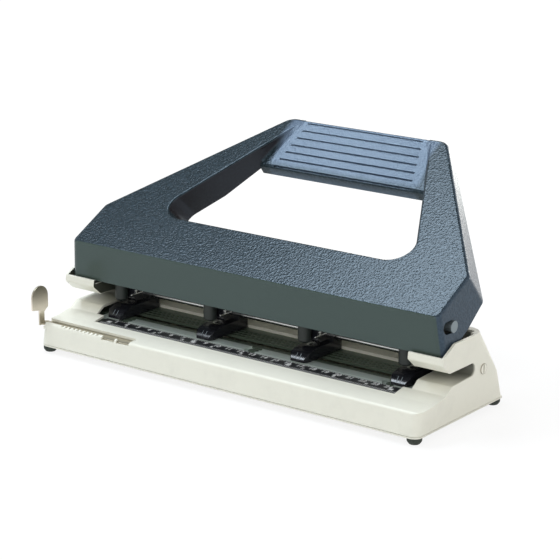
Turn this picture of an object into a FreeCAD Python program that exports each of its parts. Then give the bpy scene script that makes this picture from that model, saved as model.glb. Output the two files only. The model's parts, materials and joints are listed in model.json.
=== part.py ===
"""Adjustable four-hole paper punch: pressed steel base, four sliding punch heads, hand lever.

X runs along the machine, Y from the front edge to the back, Z up. The origin is the middle
of the base's footprint on the table. Sizes are in millimetres. Profiles are drawn from the
front edge of the base, and each finished piece is then moved back by half the base depth.
The lever pieces are drawn about the axle, flat, and are then tilted to the rest angle.
"""
import FreeCAD, Part
import math
import os
import Sketcher
from FreeCAD import Placement, Rotation, Vector

SIZES = (
    # base cover: one pressed sheet with the table, the cheeks and the sloping back
    ("CheekWidth", 26.5, "length of a cheek along X"),
    ("HeelSlope", 5.0, "lean of the back wall below its bend"),
    ("SheetGauge", 1.6, "thickness of the cover sheet"),
    ("CoverFoot", 5.8, "height of the cover's lower edge"),
    ("FrontLean", 2.7, "set-back of the front wall at its top"),
    ("FrontTop", 20.7, "height of the front edge of the table"),
    ("CreaseReach", 19.8, "reach of the crease in the table"),
    ("CreaseTop", 21.9, "height of the crease"),
    ("TableReach", 32.0, "reach of the table, where the ramp starts"),
    ("TableTop", 24.2, "height of the table's back edge"),
    ("RampReach", 38.8, "reach of the ramp's upper edge"),
    ("RampTop", 28.8, "height of the ramp's upper edge"),
    ("ThroatFloor", 29.8, "height of the paper slot's floor"),
    ("ThroatRoof", 38.2, "height of the paper slot's roof"),
    ("MouthReach", 35.8, "reach of the slot's upper lip"),
    ("NoseReach", 28.2, "reach of the cheek's nose"),
    ("NoseHeight", 44.8, "height of the cheek's nose"),
    ("BrowReach", 28.6, "reach of the cheek's brow"),
    ("BrowHeight", 49.5, "height of the cheek's brow"),
    ("CheekReach", 41.9, "reach where the cheek's top starts"),
    ("CheekTop", 56.4, "height of the cheek's top"),
    ("BackLean", 20.0, "lean of the back wall above its bend"),
    ("HaunchGap", 21.8, "distance of that bend behind the heads' heels"),
    ("HaunchHeight", 25.0, "height of the bend in the back wall"),
    ("SheetBend", 2.6, "radius of the bends in the sheet"),
    ("NoseBend", 1.9, "radius of the bends round the nose"),
    ("CreaseBend", 18.0, "radius of the crease in the table"),
    ("SlotRound", 0.97, "how round the slot's blind end is"),
    ("FrontCorner", 6.0, "radius of the front corners"),
    ("BackCorner", 3.5, "radius of the back corners at the foot"),
    ("HaunchCorner", 7.3, "radius of the back corners at the bend"),
    ("BrowCorner", 11.0, "radius of the back corners at the top"),
    ("RimCorner", 3.0, "set-back of the open top at its back corners"),
    ("RimWidth", 5.5, "rim round the open top, at the back"),
    ("WindowReach", 22.0, "reach of the window's front edge"),
    ("WindowStep", 5.5, "step from the snout to the window in the table"),
    ("RampStep", 1.0, "step from the snout to the gap in the ramp"),
    ("SnoutGap", 2.7, "gap between an outer head at its limit and the snout"),
    ("HeadTravel", 2.0, "outward travel of the outer heads"),
    ("SnoutTop", 46.6, "height of the snout's inner plate"),
    ("HeelGap", 1.8, "gap between a head's heel and the upright behind the rail"),
    ("LadderTop", 23.8, "height of that upright and of the ledge behind it"),
    ("LadderFoot", 17.7, "height of its foot and of the rail's underside"),
    # side screws
    ("SideScrewReach", 76.0, "reach of the side screw"),
    ("SideScrewHeight", 31.0, "height of the side screw"),
    ("SideScrewHead", 3.6, "radius of its head"),
    ("SideScrewRise", 0.6, "height of its head"),
    ("SideScrewSlot", 0.9, "width of its slot"),
    ("SideScrewCut", 0.4, "depth of its slot"),
    ("SideScrewShank", 2.0, "radius of its shank"),
    # rail bed, polished slide bar and scale
    ("RailFront", 19.8, "reach of the rail bed's front edge"),
    ("RailTop", 21.7, "height of the rail bed"),
    ("RailGauge", 2.0, "thickness of the rail bed"),
    ("ScaleBack", 35.4, "reach of the scale's back edge"),
    ("ScaleGauge", 1.2, "thickness of the scale"),
    ("ScaleSeat", 20.2, "height of the scale's seat"),
    ("ScaleGap", 0.4, "gap round the scale in its window"),
    ("BarFront", 36.2, "reach of the slide bar's front"),
    ("BarWidth", 8.6, "width of the slide bar"),
    ("BarTop", 22.1, "height of the slide bar"),
    ("CupRadius", 6.1, "radius of the cups in the slide bar"),
    ("CupDepth", 1.5, "depth of the cups"),
    ("CupPitch", 112.0, "pitch of the cups"),
    ("RailScrewHead", 3.6, "radius of the rail screw's head"),
    ("RailScrewRise", 1.1, "height of the rail screw's head"),
    ("RailScrewShank", 1.8, "radius of the rail screw's shank"),
    ("GrooveWidth", 1.4, "width of the grooves in the rail bed"),
    ("GrooveDepth", 0.8, "depth of the grooves"),
    ("ChipSlotStep", 3.0, "step from the gap in the ramp to the chip slot"),
    ("ChipSlotWidth", 8.0, "width of the chip slot"),
    # axle, guide rod and end plates
    ("AxleReach", 44.0, "reach of the lever's axle"),
    ("AxleHeight", 66.5, "height of the lever's axle"),
    ("AxleRadius", 3.6, "radius of the axle"),
    ("AxleEndRadius", 3.9, "radius of the axle's riveted end"),
    ("AxleProud", 1.2, "how far the riveted end stands off the lever"),
    ("RodReach", 71.0, "reach of the guide rod"),
    ("RodHeight", 32.8, "height of the guide rod"),
    ("RodRadius", 2.0, "radius of the guide rod"),
    ("PlateGauge", 2.5, "thickness of the end plates"),
    ("PlateBack", 63.0, "reach of the end plates' back at the top"),
    ("PlateBoss", 8.0, "radius of the end plate round the axle"),
    ("RunningFit", 0.08, "radial clearance of what turns or slides on a shaft"),
    ("PressFit", 0.02, "radial clearance of what is pressed on"),
    ("SideGap", 0.5, "gap between pieces that pass each other"),
    # punch heads
    ("HeadPitch", 80.0, "pitch of the holes"),
    ("HeadWidth", 14.6, "width of a head"),
    ("HeadGap", 0.3, "gap between a head and the slide bar"),
    ("ToeReach", 35.5, "reach of the head's toe"),
    ("ToeHeight", 24.3, "height of the toe's face"),
    ("ToeTaper", 2.0, "side cut of the toe"),
    ("InstepReach", 39.3, "reach of the toe's upper edge"),
    ("InstepHeight", 28.1, "height of the toe's upper edge"),
    ("TongueReach", 46.0, "reach where the tongue runs level"),
    ("TongueTop", 30.0, "height of the tongue"),
    ("PinReach", 54.0, "reach of the holes"),
    ("HoleMargin", 12.0, "distance of the holes from the paper's edge"),
    ("PaperGap", 3.2, "height of the throat at the pin"),
    ("LeadReach", 49.2, "reach of the throat's lead-in"),
    ("LeadRise", 1.8, "rise of the lead-in"),
    ("ColumnReach", 37.8, "reach of the front column"),
    ("ColumnFoot", 46.4, "height of the front column's foot"),
    ("HeadBoss", 6.2, "radius of the head round the axle"),
    ("HousingTop", 58.0, "height of the pin housing"),
    ("HousingReach", 60.4, "reach of the pin housing's back"),
    ("ShoulderReach", 66.6, "reach of the head's shoulder"),
    ("ShoulderHeight", 49.0, "height of the shoulder"),
    ("HeelReach", 76.2, "reach of the head's heel"),
    ("HeelHeight", 38.0, "height of the heel"),
    ("DieRadius", 4.5, "outer radius of the die bush"),
    ("DieHeight", 4.0, "height of the die bush"),
    ("ChipHole", 3.6, "radius of the chip hole under the die"),
    ("KnobRadius", 4.5, "radius of the clamp knob"),
    ("KnobFoot", 34.4, "height of the knob's lower end"),
    ("KnobStem", 2.5, "radius of the knob's stem"),
    ("KnobEdge", 0.6, "bevel of the knob"),
    ("PinRadius", 2.75, "radius of the punch pin"),
    ("PinTip", 33.6, "height of the pin's tip at rest"),
    ("PinHollow", 1.2, "depth of the hollow ground in the tip"),
    ("CapRadius", 3.3, "radius of the pin's cap"),
    ("CapGauge", 2.4, "thickness of the cap"),
    ("SpringRadius", 3.25, "outer radius of the pin spring"),
    ("SpringBore", 2.95, "inner radius of the pin spring"),
    ("SpringFoot", 46.0, "height of the spring's foot"),
    ("SpringWell", 3.5, "radius of the spring's well"),
    ("ClipReach", 45.2, "reach of the side clip's front"),
    ("ClipLength", 12.4, "length of the side clip"),
    ("ClipHeight", 37.9, "height of the side clip"),
    ("ClipWire", 0.9, "height of the clip's leg"),
    ("ClipGauge", 0.8, "thickness of the side clip"),
    ("ClipEyeReach", 50.5, "reach of the clip's eye"),
    ("ClipEyeHeight", 40.6, "height of the clip's eye"),
    ("ClipEye", 1.1, "radius of the clip's eye"),
    # hand lever
    ("LeverTilt", 28.07, "rest angle of the lever"),
    ("LeverGauge", 1.5, "thickness of the lever sheet"),
    ("FlankGap", 0.55, "gap between the lever's flank and the cheek"),
    ("LeverFront", 8.86, "distance of the front edge before the axle"),
    ("LeverTop", 14.56, "distance of the top above the axle"),
    ("LeverFlank", 49.5, "length of the straight flanks"),
    ("LeverLength", 169.9, "length of the lever's top"),
    ("LeverTail", 66.5, "half width at the back"),
    ("SkirtDepth", 30.0, "depth that the skirt is drawn to"),
    ("FrontFlare", 0.415, "flare of the front face"),
    ("FlankFlare", 0.115, "flare of the flanks"),
    ("TaperFlare", 0.15, "flare of the tapering sides"),
    ("LeverCorner", 5.0, "radius of the front corners"),
    ("ElbowCorner", 6.0, "radius of the side corners"),
    ("TailCorner", 11.0, "radius of the back corners"),
    ("EdgeRound", 2.3, "rounding of the top's edge"),
    ("GripFront", 31.9, "front edge of the opening behind the axle"),
    ("GripStep", 42.6, "width of the lever beside the opening, at the front"),
    ("GripTailStep", 12.2, "width of the lever beside the opening, at the back"),
    ("GripBack", 149.7, "back edge of the opening and the palm rest"),
    ("GripWall", 18.0, "depth of the opening's walls"),
    ("GripLean", 4.0, "inward lean of the opening's walls"),
    ("GripRound", 1.8, "rounding of the opening's upper edge"),
    ("GripCorner", 15.0, "radius of the opening's front corners"),
    ("GripTailCorner", 7.0, "radius of the opening's back corners"),
    ("PalmLength", 40.0, "length of the palm rest"),
    ("PalmDrop", 11.5, "drop of the palm rest"),
    ("PalmGauge", 2.0, "thickness of the palm rest"),
    ("PalmLip", 7.0, "depth of the palm rest's front lip"),
    ("PalmRound", 2.4, "rounding of that lip"),
    ("PalmCove", 5.0, "hollow round between the palm rest and the walls"),
    ("RibCount", 7, "number of grooves in the palm rest"),
    ("RibPitch", 6.22, "pitch of those grooves"),
    ("RibStart", 1.6, "distance of the last groove from the back"),
    ("RibWidth", 1.5, "width of the grooves"),
    ("RibDepth", 0.8, "depth of the grooves"),
    ("RibHalf", 49.0, "half length of the last groove"),
    ("RibGrowth", 1.5, "growth of each half length"),
    ("SlotRun", 5.5, "run of the assembly slot before the axle"),
    ("HingeGauge", 1.9, "thickness of the hinge plates"),
    ("HingeBoss", 6.4, "radius of the hinge plates round the axle"),
    ("HingeHalf", 9.0, "half width of the hinge plates at the top"),
    ("PressRise", 2.9, "height of the press bar's nose above the axle"),
    ("PressNose", 3.0, "radius of the press bar's nose"),
    ("PressWeb", 3.0, "thickness of the press bar's web"),
    ("PressStep", 2.0, "step from the snout to the press bar's end"),
    # lower edge of the skirt: distance from the front edge and depth under the top
    ("TrimDepthFront", 24.6, "depth of the skirt at the front"),
    ("TrimReach1", 0.66, "where the flank gets deeper"),
    ("TrimStep", 1.0, "run of that step"),
    ("TrimDepth1", 27.6, "depth of the flank at its front"),
    ("TrimReach2", 28.96, "second point of the skirt's edge"),
    ("TrimDepth2", 27.1, "depth there"),
    ("TrimReach3", 54.56, "third point, at the side corner"),
    ("TrimDepth3", 23.2, "depth there"),
    ("TrimReach4", 100.26, "fourth point"),
    ("TrimDepth4", 17.6, "depth there"),
    ("TrimReach5", 142.86, "fifth point"),
    ("TrimDepth5", 12.0, "depth there"),
    ("TrimDepthBack", 7.4, "depth at the back"),
    # chip tray, feet and paper guide
    ("TrayFloor", 4.3, "height of the tray's underside"),
    ("TrayRim", 1.2, "height of the tray's rim"),
    ("TrayGauge", 1.5, "thickness of the tray"),
    ("TrayWall", 13.0, "height of the tray's walls"),
    ("TrayInset", 4.4, "set-back of the tray's walls"),
    ("TrayBackInset", 6.4, "set-back of the tray's back wall"),
    ("FootRadius", 4.9, "radius of the rubber feet"),
    ("FootTip", 3.4, "radius of the feet on the floor"),
    ("FootStep", 2.0, "height of the feet's bevel"),
    ("FootInset", 5.3, "distance of the feet from the edges"),
    ("GuideBack", 79.0, "inner end of the guide bar from the middle"),
    ("GuideStand", 2.0, "distance of the guide's tab from the cheek"),
    ("GuideGauge", 1.2, "thickness of the guide"),
    ("GuideFront", 4.3, "reach of the guide bar's front"),
    ("GuideWidth", 7.8, "width of the guide bar"),
    ("GuideHeight", 17.9, "height of the guide bar"),
    ("GuideGap", 0.4, "gap round the guide bar"),
    ("GuideLip", 0.9, "overhang of the sheet that keeps the guide bar down"),
    ("NeckFront", 2.2, "reach of the neck's front"),
    ("NeckWidth", 5.0, "width of the neck"),
    ("TabReach", 3.2, "reach of the tab's middle"),
    ("TabRadius", 8.0, "half width of the tab"),
    ("TabTop", 46.5, "height of the tab"),
    ("TabFoot", 30.0, "height of the tab's lower edge"),
    ("NeckTop", 27.0, "height of the neck"),
    ("NotchWidth", 11.5, "width of the format notches"),
    ("NotchDepth", 2.4, "depth of the format notches"),
    ("ToothPitch", 3.6, "pitch of the fine notches"),
    ("ToothCount", 10, "number of fine notches"),
)


class Size:
    """A length together with the spreadsheet formula that gives it."""

    def __init__(self, value, text):
        self.value, self.text = float(value), text

    def _join(self, other, sign, value):
        text = other.text if isinstance(other, Size) else repr(float(other))
        return Size(value, "(%s %s %s)" % (self.text, sign, text))

    def __add__(self, other):
        return self._join(other, "+", self.value + number(other))

    def __sub__(self, other):
        return self._join(other, "-", self.value - number(other))

    def __mul__(self, other):
        return self._join(other, "*", self.value * number(other))

    def __truediv__(self, other):
        return self._join(other, "/", self.value / number(other))

    def __neg__(self):
        return Size(-self.value, "(0 - %s)" % self.text)


def number(size):
    return size.value if isinstance(size, Size) else float(size)


def as_size(size):
    return size if isinstance(size, Size) else Size(size, repr(float(size)))


doc = FreeCAD.newDocument("PaperPunch")
sheet = doc.addObject("Spreadsheet::Sheet", "Dims")
for row, (name, value, note) in enumerate(SIZES, start=1):
    sheet.set("A%d" % row, name)
    sheet.set("B%d" % row, repr(value))
    sheet.set("C%d" % row, note)
    sheet.setAlias("B%d" % row, name)
doc.recompute()


class Dims:
    """Reads a named size from the spreadsheet, or works out one that follows from others."""

    def __getattr__(self, name):
        if name in RULES:
            return RULES[name]()
        return Size(sheet.get(name), "Dims.%s" % name)


D = Dims()
RULES = {
    "SnoutHalf": lambda: D.HeadPitch * 1.5 + D.HeadWidth / 2 + D.HeadTravel + D.SnoutGap,
    "BaseWidth": lambda: (D.SnoutHalf + D.CheekWidth) * 2,
    "WindowHalf": lambda: D.SnoutHalf - D.WindowStep,
    "RampHalf": lambda: D.SnoutHalf + D.RampStep,
    "ChipSlotHalf": lambda: D.RampHalf + D.ChipSlotStep,
    "PressHalf": lambda: D.SnoutHalf - D.PressStep,
    "LadderReach": lambda: D.HeelReach + D.HeelGap,
    "HaunchReach": lambda: D.HeelReach + D.HaunchGap,
    "BackReach": lambda: D.HaunchReach - D.BackLean,
    "BaseDepth": lambda: D.HaunchReach + D.HeelSlope,
    "TrayBack": lambda: D.BaseDepth - D.TrayBackInset,
    "LeverHalf": lambda: (D.BaseWidth / 2 - D.SheetGauge - D.FlankFlare * D.SkirtDepth
                          - D.FlankGap),
    "GripHalf": lambda: D.LeverHalf - D.GripStep,
    "GripTail": lambda: D.LeverTail - D.GripTailStep,
    "HingeInner": lambda: D.LeverHalf - D.LeverGauge - D.HingeGauge - D.SideGap,
    "PlateInner": lambda: D.HingeInner - D.SideGap - D.PlateGauge,
    "TabStand": lambda: D.BaseWidth / 2 + D.GuideStand,
}
NODES = []


# ---------------------------------------------------------------- document helpers

def bind(obj, path, size):
    obj.setExpression(path, as_size(size).text)


def finish(obj, label, x=0.0, y=0.0, z=0.0):
    """Labels a node and moves it from the front edge to the part's own frame."""
    obj.Label = label
    place = Vector(number(x), number(as_size(y) - D.BaseDepth / 2), number(z))
    obj.Placement = Placement(place, Rotation())
    bind(obj, "Placement.Base.x", x)
    bind(obj, "Placement.Base.y", as_size(y) - D.BaseDepth / 2)
    bind(obj, "Placement.Base.z", z)
    NODES.append(obj)
    return obj


def tilt(obj, label):
    """Labels a lever piece and swings it about the axle to its rest angle."""
    finish(obj, label, 0.0, D.AxleReach, D.AxleHeight)
    turn = Rotation(Vector(1, 0, 0), number(D.LeverTilt))
    obj.Placement = Placement(obj.Placement.Base, turn)
    bind(obj, "Placement.Rotation.Angle", D.LeverTilt)
    return obj


def new_body(name):
    return doc.addObject("PartDesign::Body", name)


def new_sketch(body, role, lift=0.0):
    sketch = body.newObject("Sketcher::SketchObject", body.Name + "_sketch")
    plane = [o for o in body.Origin.OriginFeatures if o.Role == role][0]
    sketch.AttachmentSupport = [(plane, "")]
    sketch.MapMode = "FlatFace"
    bind(sketch, "AttachmentOffset.Base.z", lift)
    return sketch


def pin_point(sketch, index, end, u, v):
    for kind, size in (("DistanceX", u), ("DistanceY", v)):
        rule = Sketcher.Constraint(kind, -1, 1, index, end, number(size))
        bind(sketch, "Constraints[%d]" % sketch.addConstraint(rule), size)


def polygon(body, role, points, lift=0.0):
    """A closed outline whose corners are tied to the spreadsheet."""
    sketch = new_sketch(body, role, lift)
    flat = [Vector(number(u), number(v), 0) for u, v in points]
    count = len(flat)
    for i in range(count):
        sketch.addGeometry(Part.LineSegment(flat[i], flat[(i + 1) % count]), False)
    for i in range(count):
        sketch.addConstraint(Sketcher.Constraint("Coincident", i, 2, (i + 1) % count, 1))
    for i, (u, v) in enumerate(points):
        pin_point(sketch, i, 1, u, v)
    return sketch


def circle(body, role, u, v, radius, lift=0.0):
    sketch = new_sketch(body, role, lift)
    middle = Vector(number(u), number(v), 0)
    sketch.addGeometry(Part.Circle(middle, Vector(0, 0, 1), number(radius)), False)
    pin_point(sketch, 0, 3, u, v)
    rule = sketch.addConstraint(Sketcher.Constraint("Radius", 0, number(radius)))
    bind(sketch, "Constraints[%d]" % rule, radius)
    return sketch


def pad(body, sketch, length, both=False, back=False):
    feature = body.newObject("PartDesign::Pad", body.Name + "_pad")
    feature.Profile = sketch
    bind(feature, "Length", length)
    feature.SideType = "Symmetric" if both else "One side"
    feature.Reversed = back
    return feature


def pocket(body, sketch, length=None, both=False, back=False):
    feature = body.newObject("PartDesign::Pocket", body.Name + "_pocket")
    feature.Profile = sketch
    if length is None:
        feature.Type = 1
        feature.SideType = "Symmetric" if both else "One side"
    else:
        bind(feature, "Length", length)
        feature.SideType = "Symmetric" if both else "One side"
    feature.Reversed = back
    return feature


def turned(name, points):
    """A body turned about its own Z axis from a half profile of radius and height."""
    body = new_body(name)
    sketch = polygon(body, "XZ_Plane", points)
    feature = body.newObject("PartDesign::Revolution", name + "_turn")
    feature.Profile = sketch
    feature.ReferenceAxis = (sketch, ["V_Axis"])
    feature.Angle = 360.0
    return body


def bar_along_x(name, radius, length):
    """A plain round bar along X with its middle at the origin."""
    body = new_body(name)
    pad(body, circle(body, "YZ_Plane", 0.0, 0.0, radius), length, both=True)
    return body


# ---------------------------------------------------------------- shape helpers

def prism(points, x_from, x_to):
    """A solid with a side profile of reach and height, between two places along X."""
    corners = [Vector(x_from, y, z) for y, z in points]
    face = Part.Face(Part.makePolygon(corners + corners[:1]))
    return face.extrude(Vector(x_to - x_from, 0, 0))


def slab(x0, x1, y0, y1, z0, z1):
    return Part.makeBox(x1 - x0, y1 - y0, z1 - z0, Vector(x0, y0, z0))


def moved_edges(points, offsets):
    """Moves each side of a polygon outwards by its own offset and joins them again."""
    lines = []
    count = len(points)
    for i in range(count):
        (ax, ay), (bx, by) = points[i], points[(i + 1) % count]
        length = math.hypot(bx - ax, by - ay)
        nx, ny = (by - ay) / length, (ax - bx) / length
        lines.append((nx, ny, nx * ax + ny * ay + offsets[i]))
    result = []
    for i in range(count):
        (a, b, c), (d, e, f) = lines[i - 1], lines[i]
        det = a * e - b * d
        result.append(((c * e - b * f) / det, (a * f - c * d) / det))
    return result


def rounded_wire(points, radii, z):
    """A closed outline at one height, with an arc at every corner that has a radius."""
    edges, last, first = [], None, None
    count = len(points)
    for i in range(count):
        here = Vector(points[i][0], points[i][1], z)
        before = Vector(points[i - 1][0], points[i - 1][1], z) - here
        after = Vector(points[(i + 1) % count][0], points[(i + 1) % count][1], z) - here
        half = before.getAngle(after) / 2
        before.normalize()
        after.normalize()
        reach = radii[i] / math.tan(half)
        start, end = here + before * reach, here + after * reach
        if last is None:
            first = start
        else:
            edges.append(Part.makeLine(last, start))
        if radii[i] > 0:
            axis = (before + after).normalize()
            middle = here + axis * (radii[i] / math.sin(half) - radii[i])
            edges.append(Part.Arc(start, middle, end).toShape())
        last = end
    edges.append(Part.makeLine(last, first))
    return Part.Wire(edges)


# ---------------------------------------------------------------- base cover

def cover_corners(inset):
    """Corners of the cover's side view from the front foot to the back foot, each with the
    radius of its bend; an inset gives the hollow inside the sheet."""
    foot = D.CoverFoot.value
    low = foot - 2 * D.TrayWall.value
    lean = D.FrontLean.value / (D.FrontTop.value - foot)
    slope = (D.BaseDepth.value - D.HaunchReach.value) / (D.HaunchHeight.value - foot)
    stop = number(D.PinReach + D.HoleMargin)
    bend, sharp, soft = D.SheetBend.value, D.NoseBend.value, D.CreaseBend.value
    throat = number(D.ThroatRoof - D.ThroatFloor) / 2
    corners = ((lean * (low - foot), low, 0.0),
               (D.FrontLean.value, D.FrontTop.value, bend - inset),
               (D.CreaseReach.value, D.CreaseTop.value, soft + inset),
               (D.TableReach.value, D.TableTop.value, bend + inset),
               (D.RampReach.value, D.RampTop.value, bend - inset),
               (stop, D.ThroatFloor.value, (throat + inset) * D.SlotRound.value),
               (stop, D.ThroatRoof.value, (throat + inset) * D.SlotRound.value),
               (D.MouthReach.value, D.ThroatRoof.value, sharp - inset),
               (D.NoseReach.value, D.NoseHeight.value, sharp - inset),
               (D.BrowReach.value, D.BrowHeight.value, sharp - inset),
               (D.CheekReach.value, D.CheekTop.value, bend - inset),
               (D.BackReach.value, D.CheekTop.value, 0.0),
               (D.HaunchReach.value, D.HaunchHeight.value, 0.0),
               (D.BaseDepth.value + slope * (foot - low), low, 0.0))
    points = moved_edges([(y, z) for y, z, _ in corners], [inset] * len(corners))
    return points, [radius for _, _, radius in corners]


def corner_cutter(lower, upper, side, front, half, radii):
    """What is taken off an upright corner between two points of a leaning wall; the corner's
    radius may change with height."""
    way = 1 if front else -1
    wires = []
    for (y, z), radius in zip((lower, upper), radii):
        over, mid = -way * D.BrowCorner.value, radius * (1 - math.sqrt(0.5))
        wide = half + D.BrowCorner.value
        p = [Vector(side * half, y + way * radius, z), Vector(side * wide, y + way * radius, z),
             Vector(side * wide, y + over, z), Vector(side * (half - radius), y + over, z),
             Vector(side * (half - radius), y, z)]
        bend = Vector(side * (half - mid), y + way * mid, z)
        edges = [Part.makeLine(p[i], p[i + 1]) for i in range(4)]
        edges.append(Part.Arc(p[4], bend, p[0]).toShape())
        wires.append(Part.Wire(edges))
    return Part.makeLoft(wires, True, True)


def cover_block(inset):
    """The cover's outer form, or with an inset the hollow inside it."""
    half = D.BaseWidth.value / 2 - inset
    points, radii = cover_corners(inset)
    outline = rounded_wire(points, radii, -half)
    outline.Placement = Placement(Vector(0, 0, 0), Rotation(Vector(1, 1, 1), 120))
    block = Part.Face(outline).extrude(Vector(2 * half, 0, 0))
    foot, edge, brow, haunch, heel = points[0], points[1], points[-3], points[-2], points[-1]
    rise = (points[3][1] - edge[1]) / (edge[1] - foot[1])
    edge = (edge[0] + rise * (edge[0] - foot[0]), points[3][1])
    nose = D.FrontCorner.value - inset
    low, bend, high = [radius.value - inset for radius in
                       (D.BackCorner, D.HaunchCorner, D.BrowCorner)]
    walls = ((foot, edge, True, (nose, nose)), (heel, haunch, False, (low, bend)),
             (haunch, brow, False, (bend, high)))
    for side in (-1, 1):
        for lower, upper, front, radii in walls:
            block = block.cut(corner_cutter(lower, upper, side, front, half, radii))
    return block


def make_cover():
    gauge = D.SheetGauge.value
    half = D.BaseWidth.value / 2
    inner = half - gauge
    top = D.CheekTop.value + gauge
    outer = cover_block(0.0)
    outer = outer.common(slab(-half, half, -half, half, D.CoverFoot.value, top))
    shell = outer.cut(cover_block(gauge))
    window, ramp, snout = D.WindowHalf.value, D.RampHalf.value, D.SnoutHalf.value
    stop = number(D.PinReach + D.HoleMargin)
    behind, rim = stop + 2 * gauge, number(D.BackReach - D.RimWidth)
    low, roof, cheek = D.LadderFoot.value, D.ThroatRoof.value, D.SnoutTop.value
    before, shelf = D.NoseReach.value - gauge, half - D.HaunchCorner.value
    curve = number(D.BackReach - D.BrowCorner)
    neck = inner - D.RimCorner.value
    cuts = [slab(-window, window, D.WindowReach.value, D.RampReach.value, low, roof),
            slab(-ramp, ramp, D.TableReach.value, behind, low, roof),
            slab(-snout, snout, before, behind, roof, cheek),
            slab(-snout, snout, before, rim, cheek, top),
            slab(-inner, inner, before, curve, D.BrowHeight.value, top),
            slab(-neck, neck, before, rim, D.BrowHeight.value, top),
            slab(-inner, inner, D.BrowReach.value + gauge, curve, cheek, top)]
    for cut in cuts:
        shell = shell.cut(cut)
    plate = [(D.MouthReach.value, roof), (D.NoseReach.value, D.NoseHeight.value),
             (D.NoseReach.value, cheek), (number(D.PinReach), cheek), (stop, roof + gauge),
             (stop, roof)]
    reach = D.LadderReach.value
    pieces = [prism(plate, snout, snout + gauge), prism(plate, -snout - gauge, -snout),
              slab(-inner, inner, reach, reach + gauge, low, D.LadderTop.value),
              slab(-shelf, shelf, reach, D.HaunchReach.value, D.LadderTop.value - gauge,
                   D.LadderTop.value)]
    shell = shell.multiFuse(pieces + guide_trough())
    for side in (-1, 1):
        hole = Part.makeCylinder(D.SideScrewShank.value, 4 * gauge,
                                 Vector(side * half, D.SideScrewReach.value,
                                        D.SideScrewHeight.value), Vector(-side, 0, 0))
        shell = shell.cut(hole)
    for cut in guide_slot():
        shell = shell.cut(cut)
    obj = doc.addObject("Part::Feature", "base_cover")
    obj.Shape = shell.removeSplitter()
    return finish(obj, "base_cover")


def guide_room():
    """Inner faces of the trough of the paper guide: front, back, floor, roof and end."""
    gap = D.GuideGap.value
    return (D.GuideFront.value - gap, number(D.GuideFront + D.GuideWidth) + gap,
            D.GuideHeight.value - gap, number(D.GuideHeight + D.GuideGauge) + gap,
            -D.GuideBack.value + 2 * gap)


def guide_trough():
    """The trough under the front of the table that carries the guide bar."""
    front, back, floor, roof, end = guide_room()
    gauge = D.SheetGauge.value
    far = -D.BaseWidth.value / 2 + gauge / 2
    lid = roof + gauge / 2
    return [slab(far, end + gauge, front - gauge / 2, back + gauge, floor - gauge, floor),
            slab(far, end + gauge, back, back + gauge, floor - gauge, lid),
            slab(end, end + gauge, front - gauge / 2, back + gauge, floor - gauge, lid)]


def guide_slot():
    """The room of the guide bar, the opening over it and the format notches beside it."""
    front, back, floor, roof, end = guide_room()
    lip = D.GuideLip.value
    out = -D.BaseWidth.value / 2 - lip
    wall = -D.BaseWidth.value / 2 + D.SheetGauge.value
    over = D.TableTop.value
    cuts = [slab(out, end, front, back, floor, roof),
            slab(out, end, front + lip, back - lip, roof - lip, over),
            slab(out, wall, front, back, floor, over)]
    width = D.NotchWidth.value
    for k in (0, 1):
        x = end - width - k * (width + D.SheetGauge.value)
        cuts.append(slab(x, x + width, -lip, front + 2 * lip, D.FrontTop.value
                         - D.NotchDepth.value, over))
    for k in range(int(D.ToothCount.value)):
        x = end - 2 * width - (k + 2) * D.ToothPitch.value
        cuts.append(slab(x, x + D.ToothPitch.value / 2, -lip, front + 2 * lip,
                         D.FrontTop.value - D.NotchDepth.value / 3, over))
    return cuts


# ---------------------------------------------------------------- rail, scale and shafts

def make_rail():
    body = new_body("rail_bed")
    low, top, seat = D.LadderFoot, D.RailTop, D.ScaleSeat
    bar_seat = low + D.RailGauge
    bar_back = D.BarFront + D.BarWidth
    web = D.BarFront + D.RailGauge
    lip = D.LadderReach - D.RailGauge
    wide, deep = D.GrooveWidth, D.GrooveDepth
    points = [(D.RailFront, low), (D.RailFront, seat), (D.BarFront, seat),
              (D.BarFront, bar_seat), (bar_back, bar_seat), (bar_back, top)]
    slot = D.ChipSlotWidth / 2
    first = D.PinReach + slot + wide * 2
    for k in range(3):
        start = first + wide * (3 * k)
        points += [(start, top), (start, top - deep), (start + wide, top - deep),
                   (start + wide, top)]
    points += [(D.LadderReach, top), (D.LadderReach, low), (lip, low),
               (lip, top - D.RailGauge), (bar_back + D.RailGauge, top - D.RailGauge),
               (bar_back + D.RailGauge, low)]
    pad(body, polygon(body, "YZ_Plane", points), D.BaseWidth - D.SheetGauge * 2, both=True)
    chips = [(-D.ChipSlotHalf, D.PinReach - slot), (D.ChipSlotHalf, D.PinReach - slot),
             (D.ChipSlotHalf, D.PinReach + slot), (-D.ChipSlotHalf, D.PinReach + slot)]
    pocket(body, polygon(body, "XY_Plane", chips), D.CheekTop, back=True)
    for k in (-1, 0, 1):
        hole = circle(body, "XY_Plane", D.CupPitch * k, D.BarFront + D.BarWidth / 2,
                      D.RailScrewShank)
        pocket(body, hole, D.CheekTop, back=True)
    return finish(body, "rail_bed")


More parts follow.
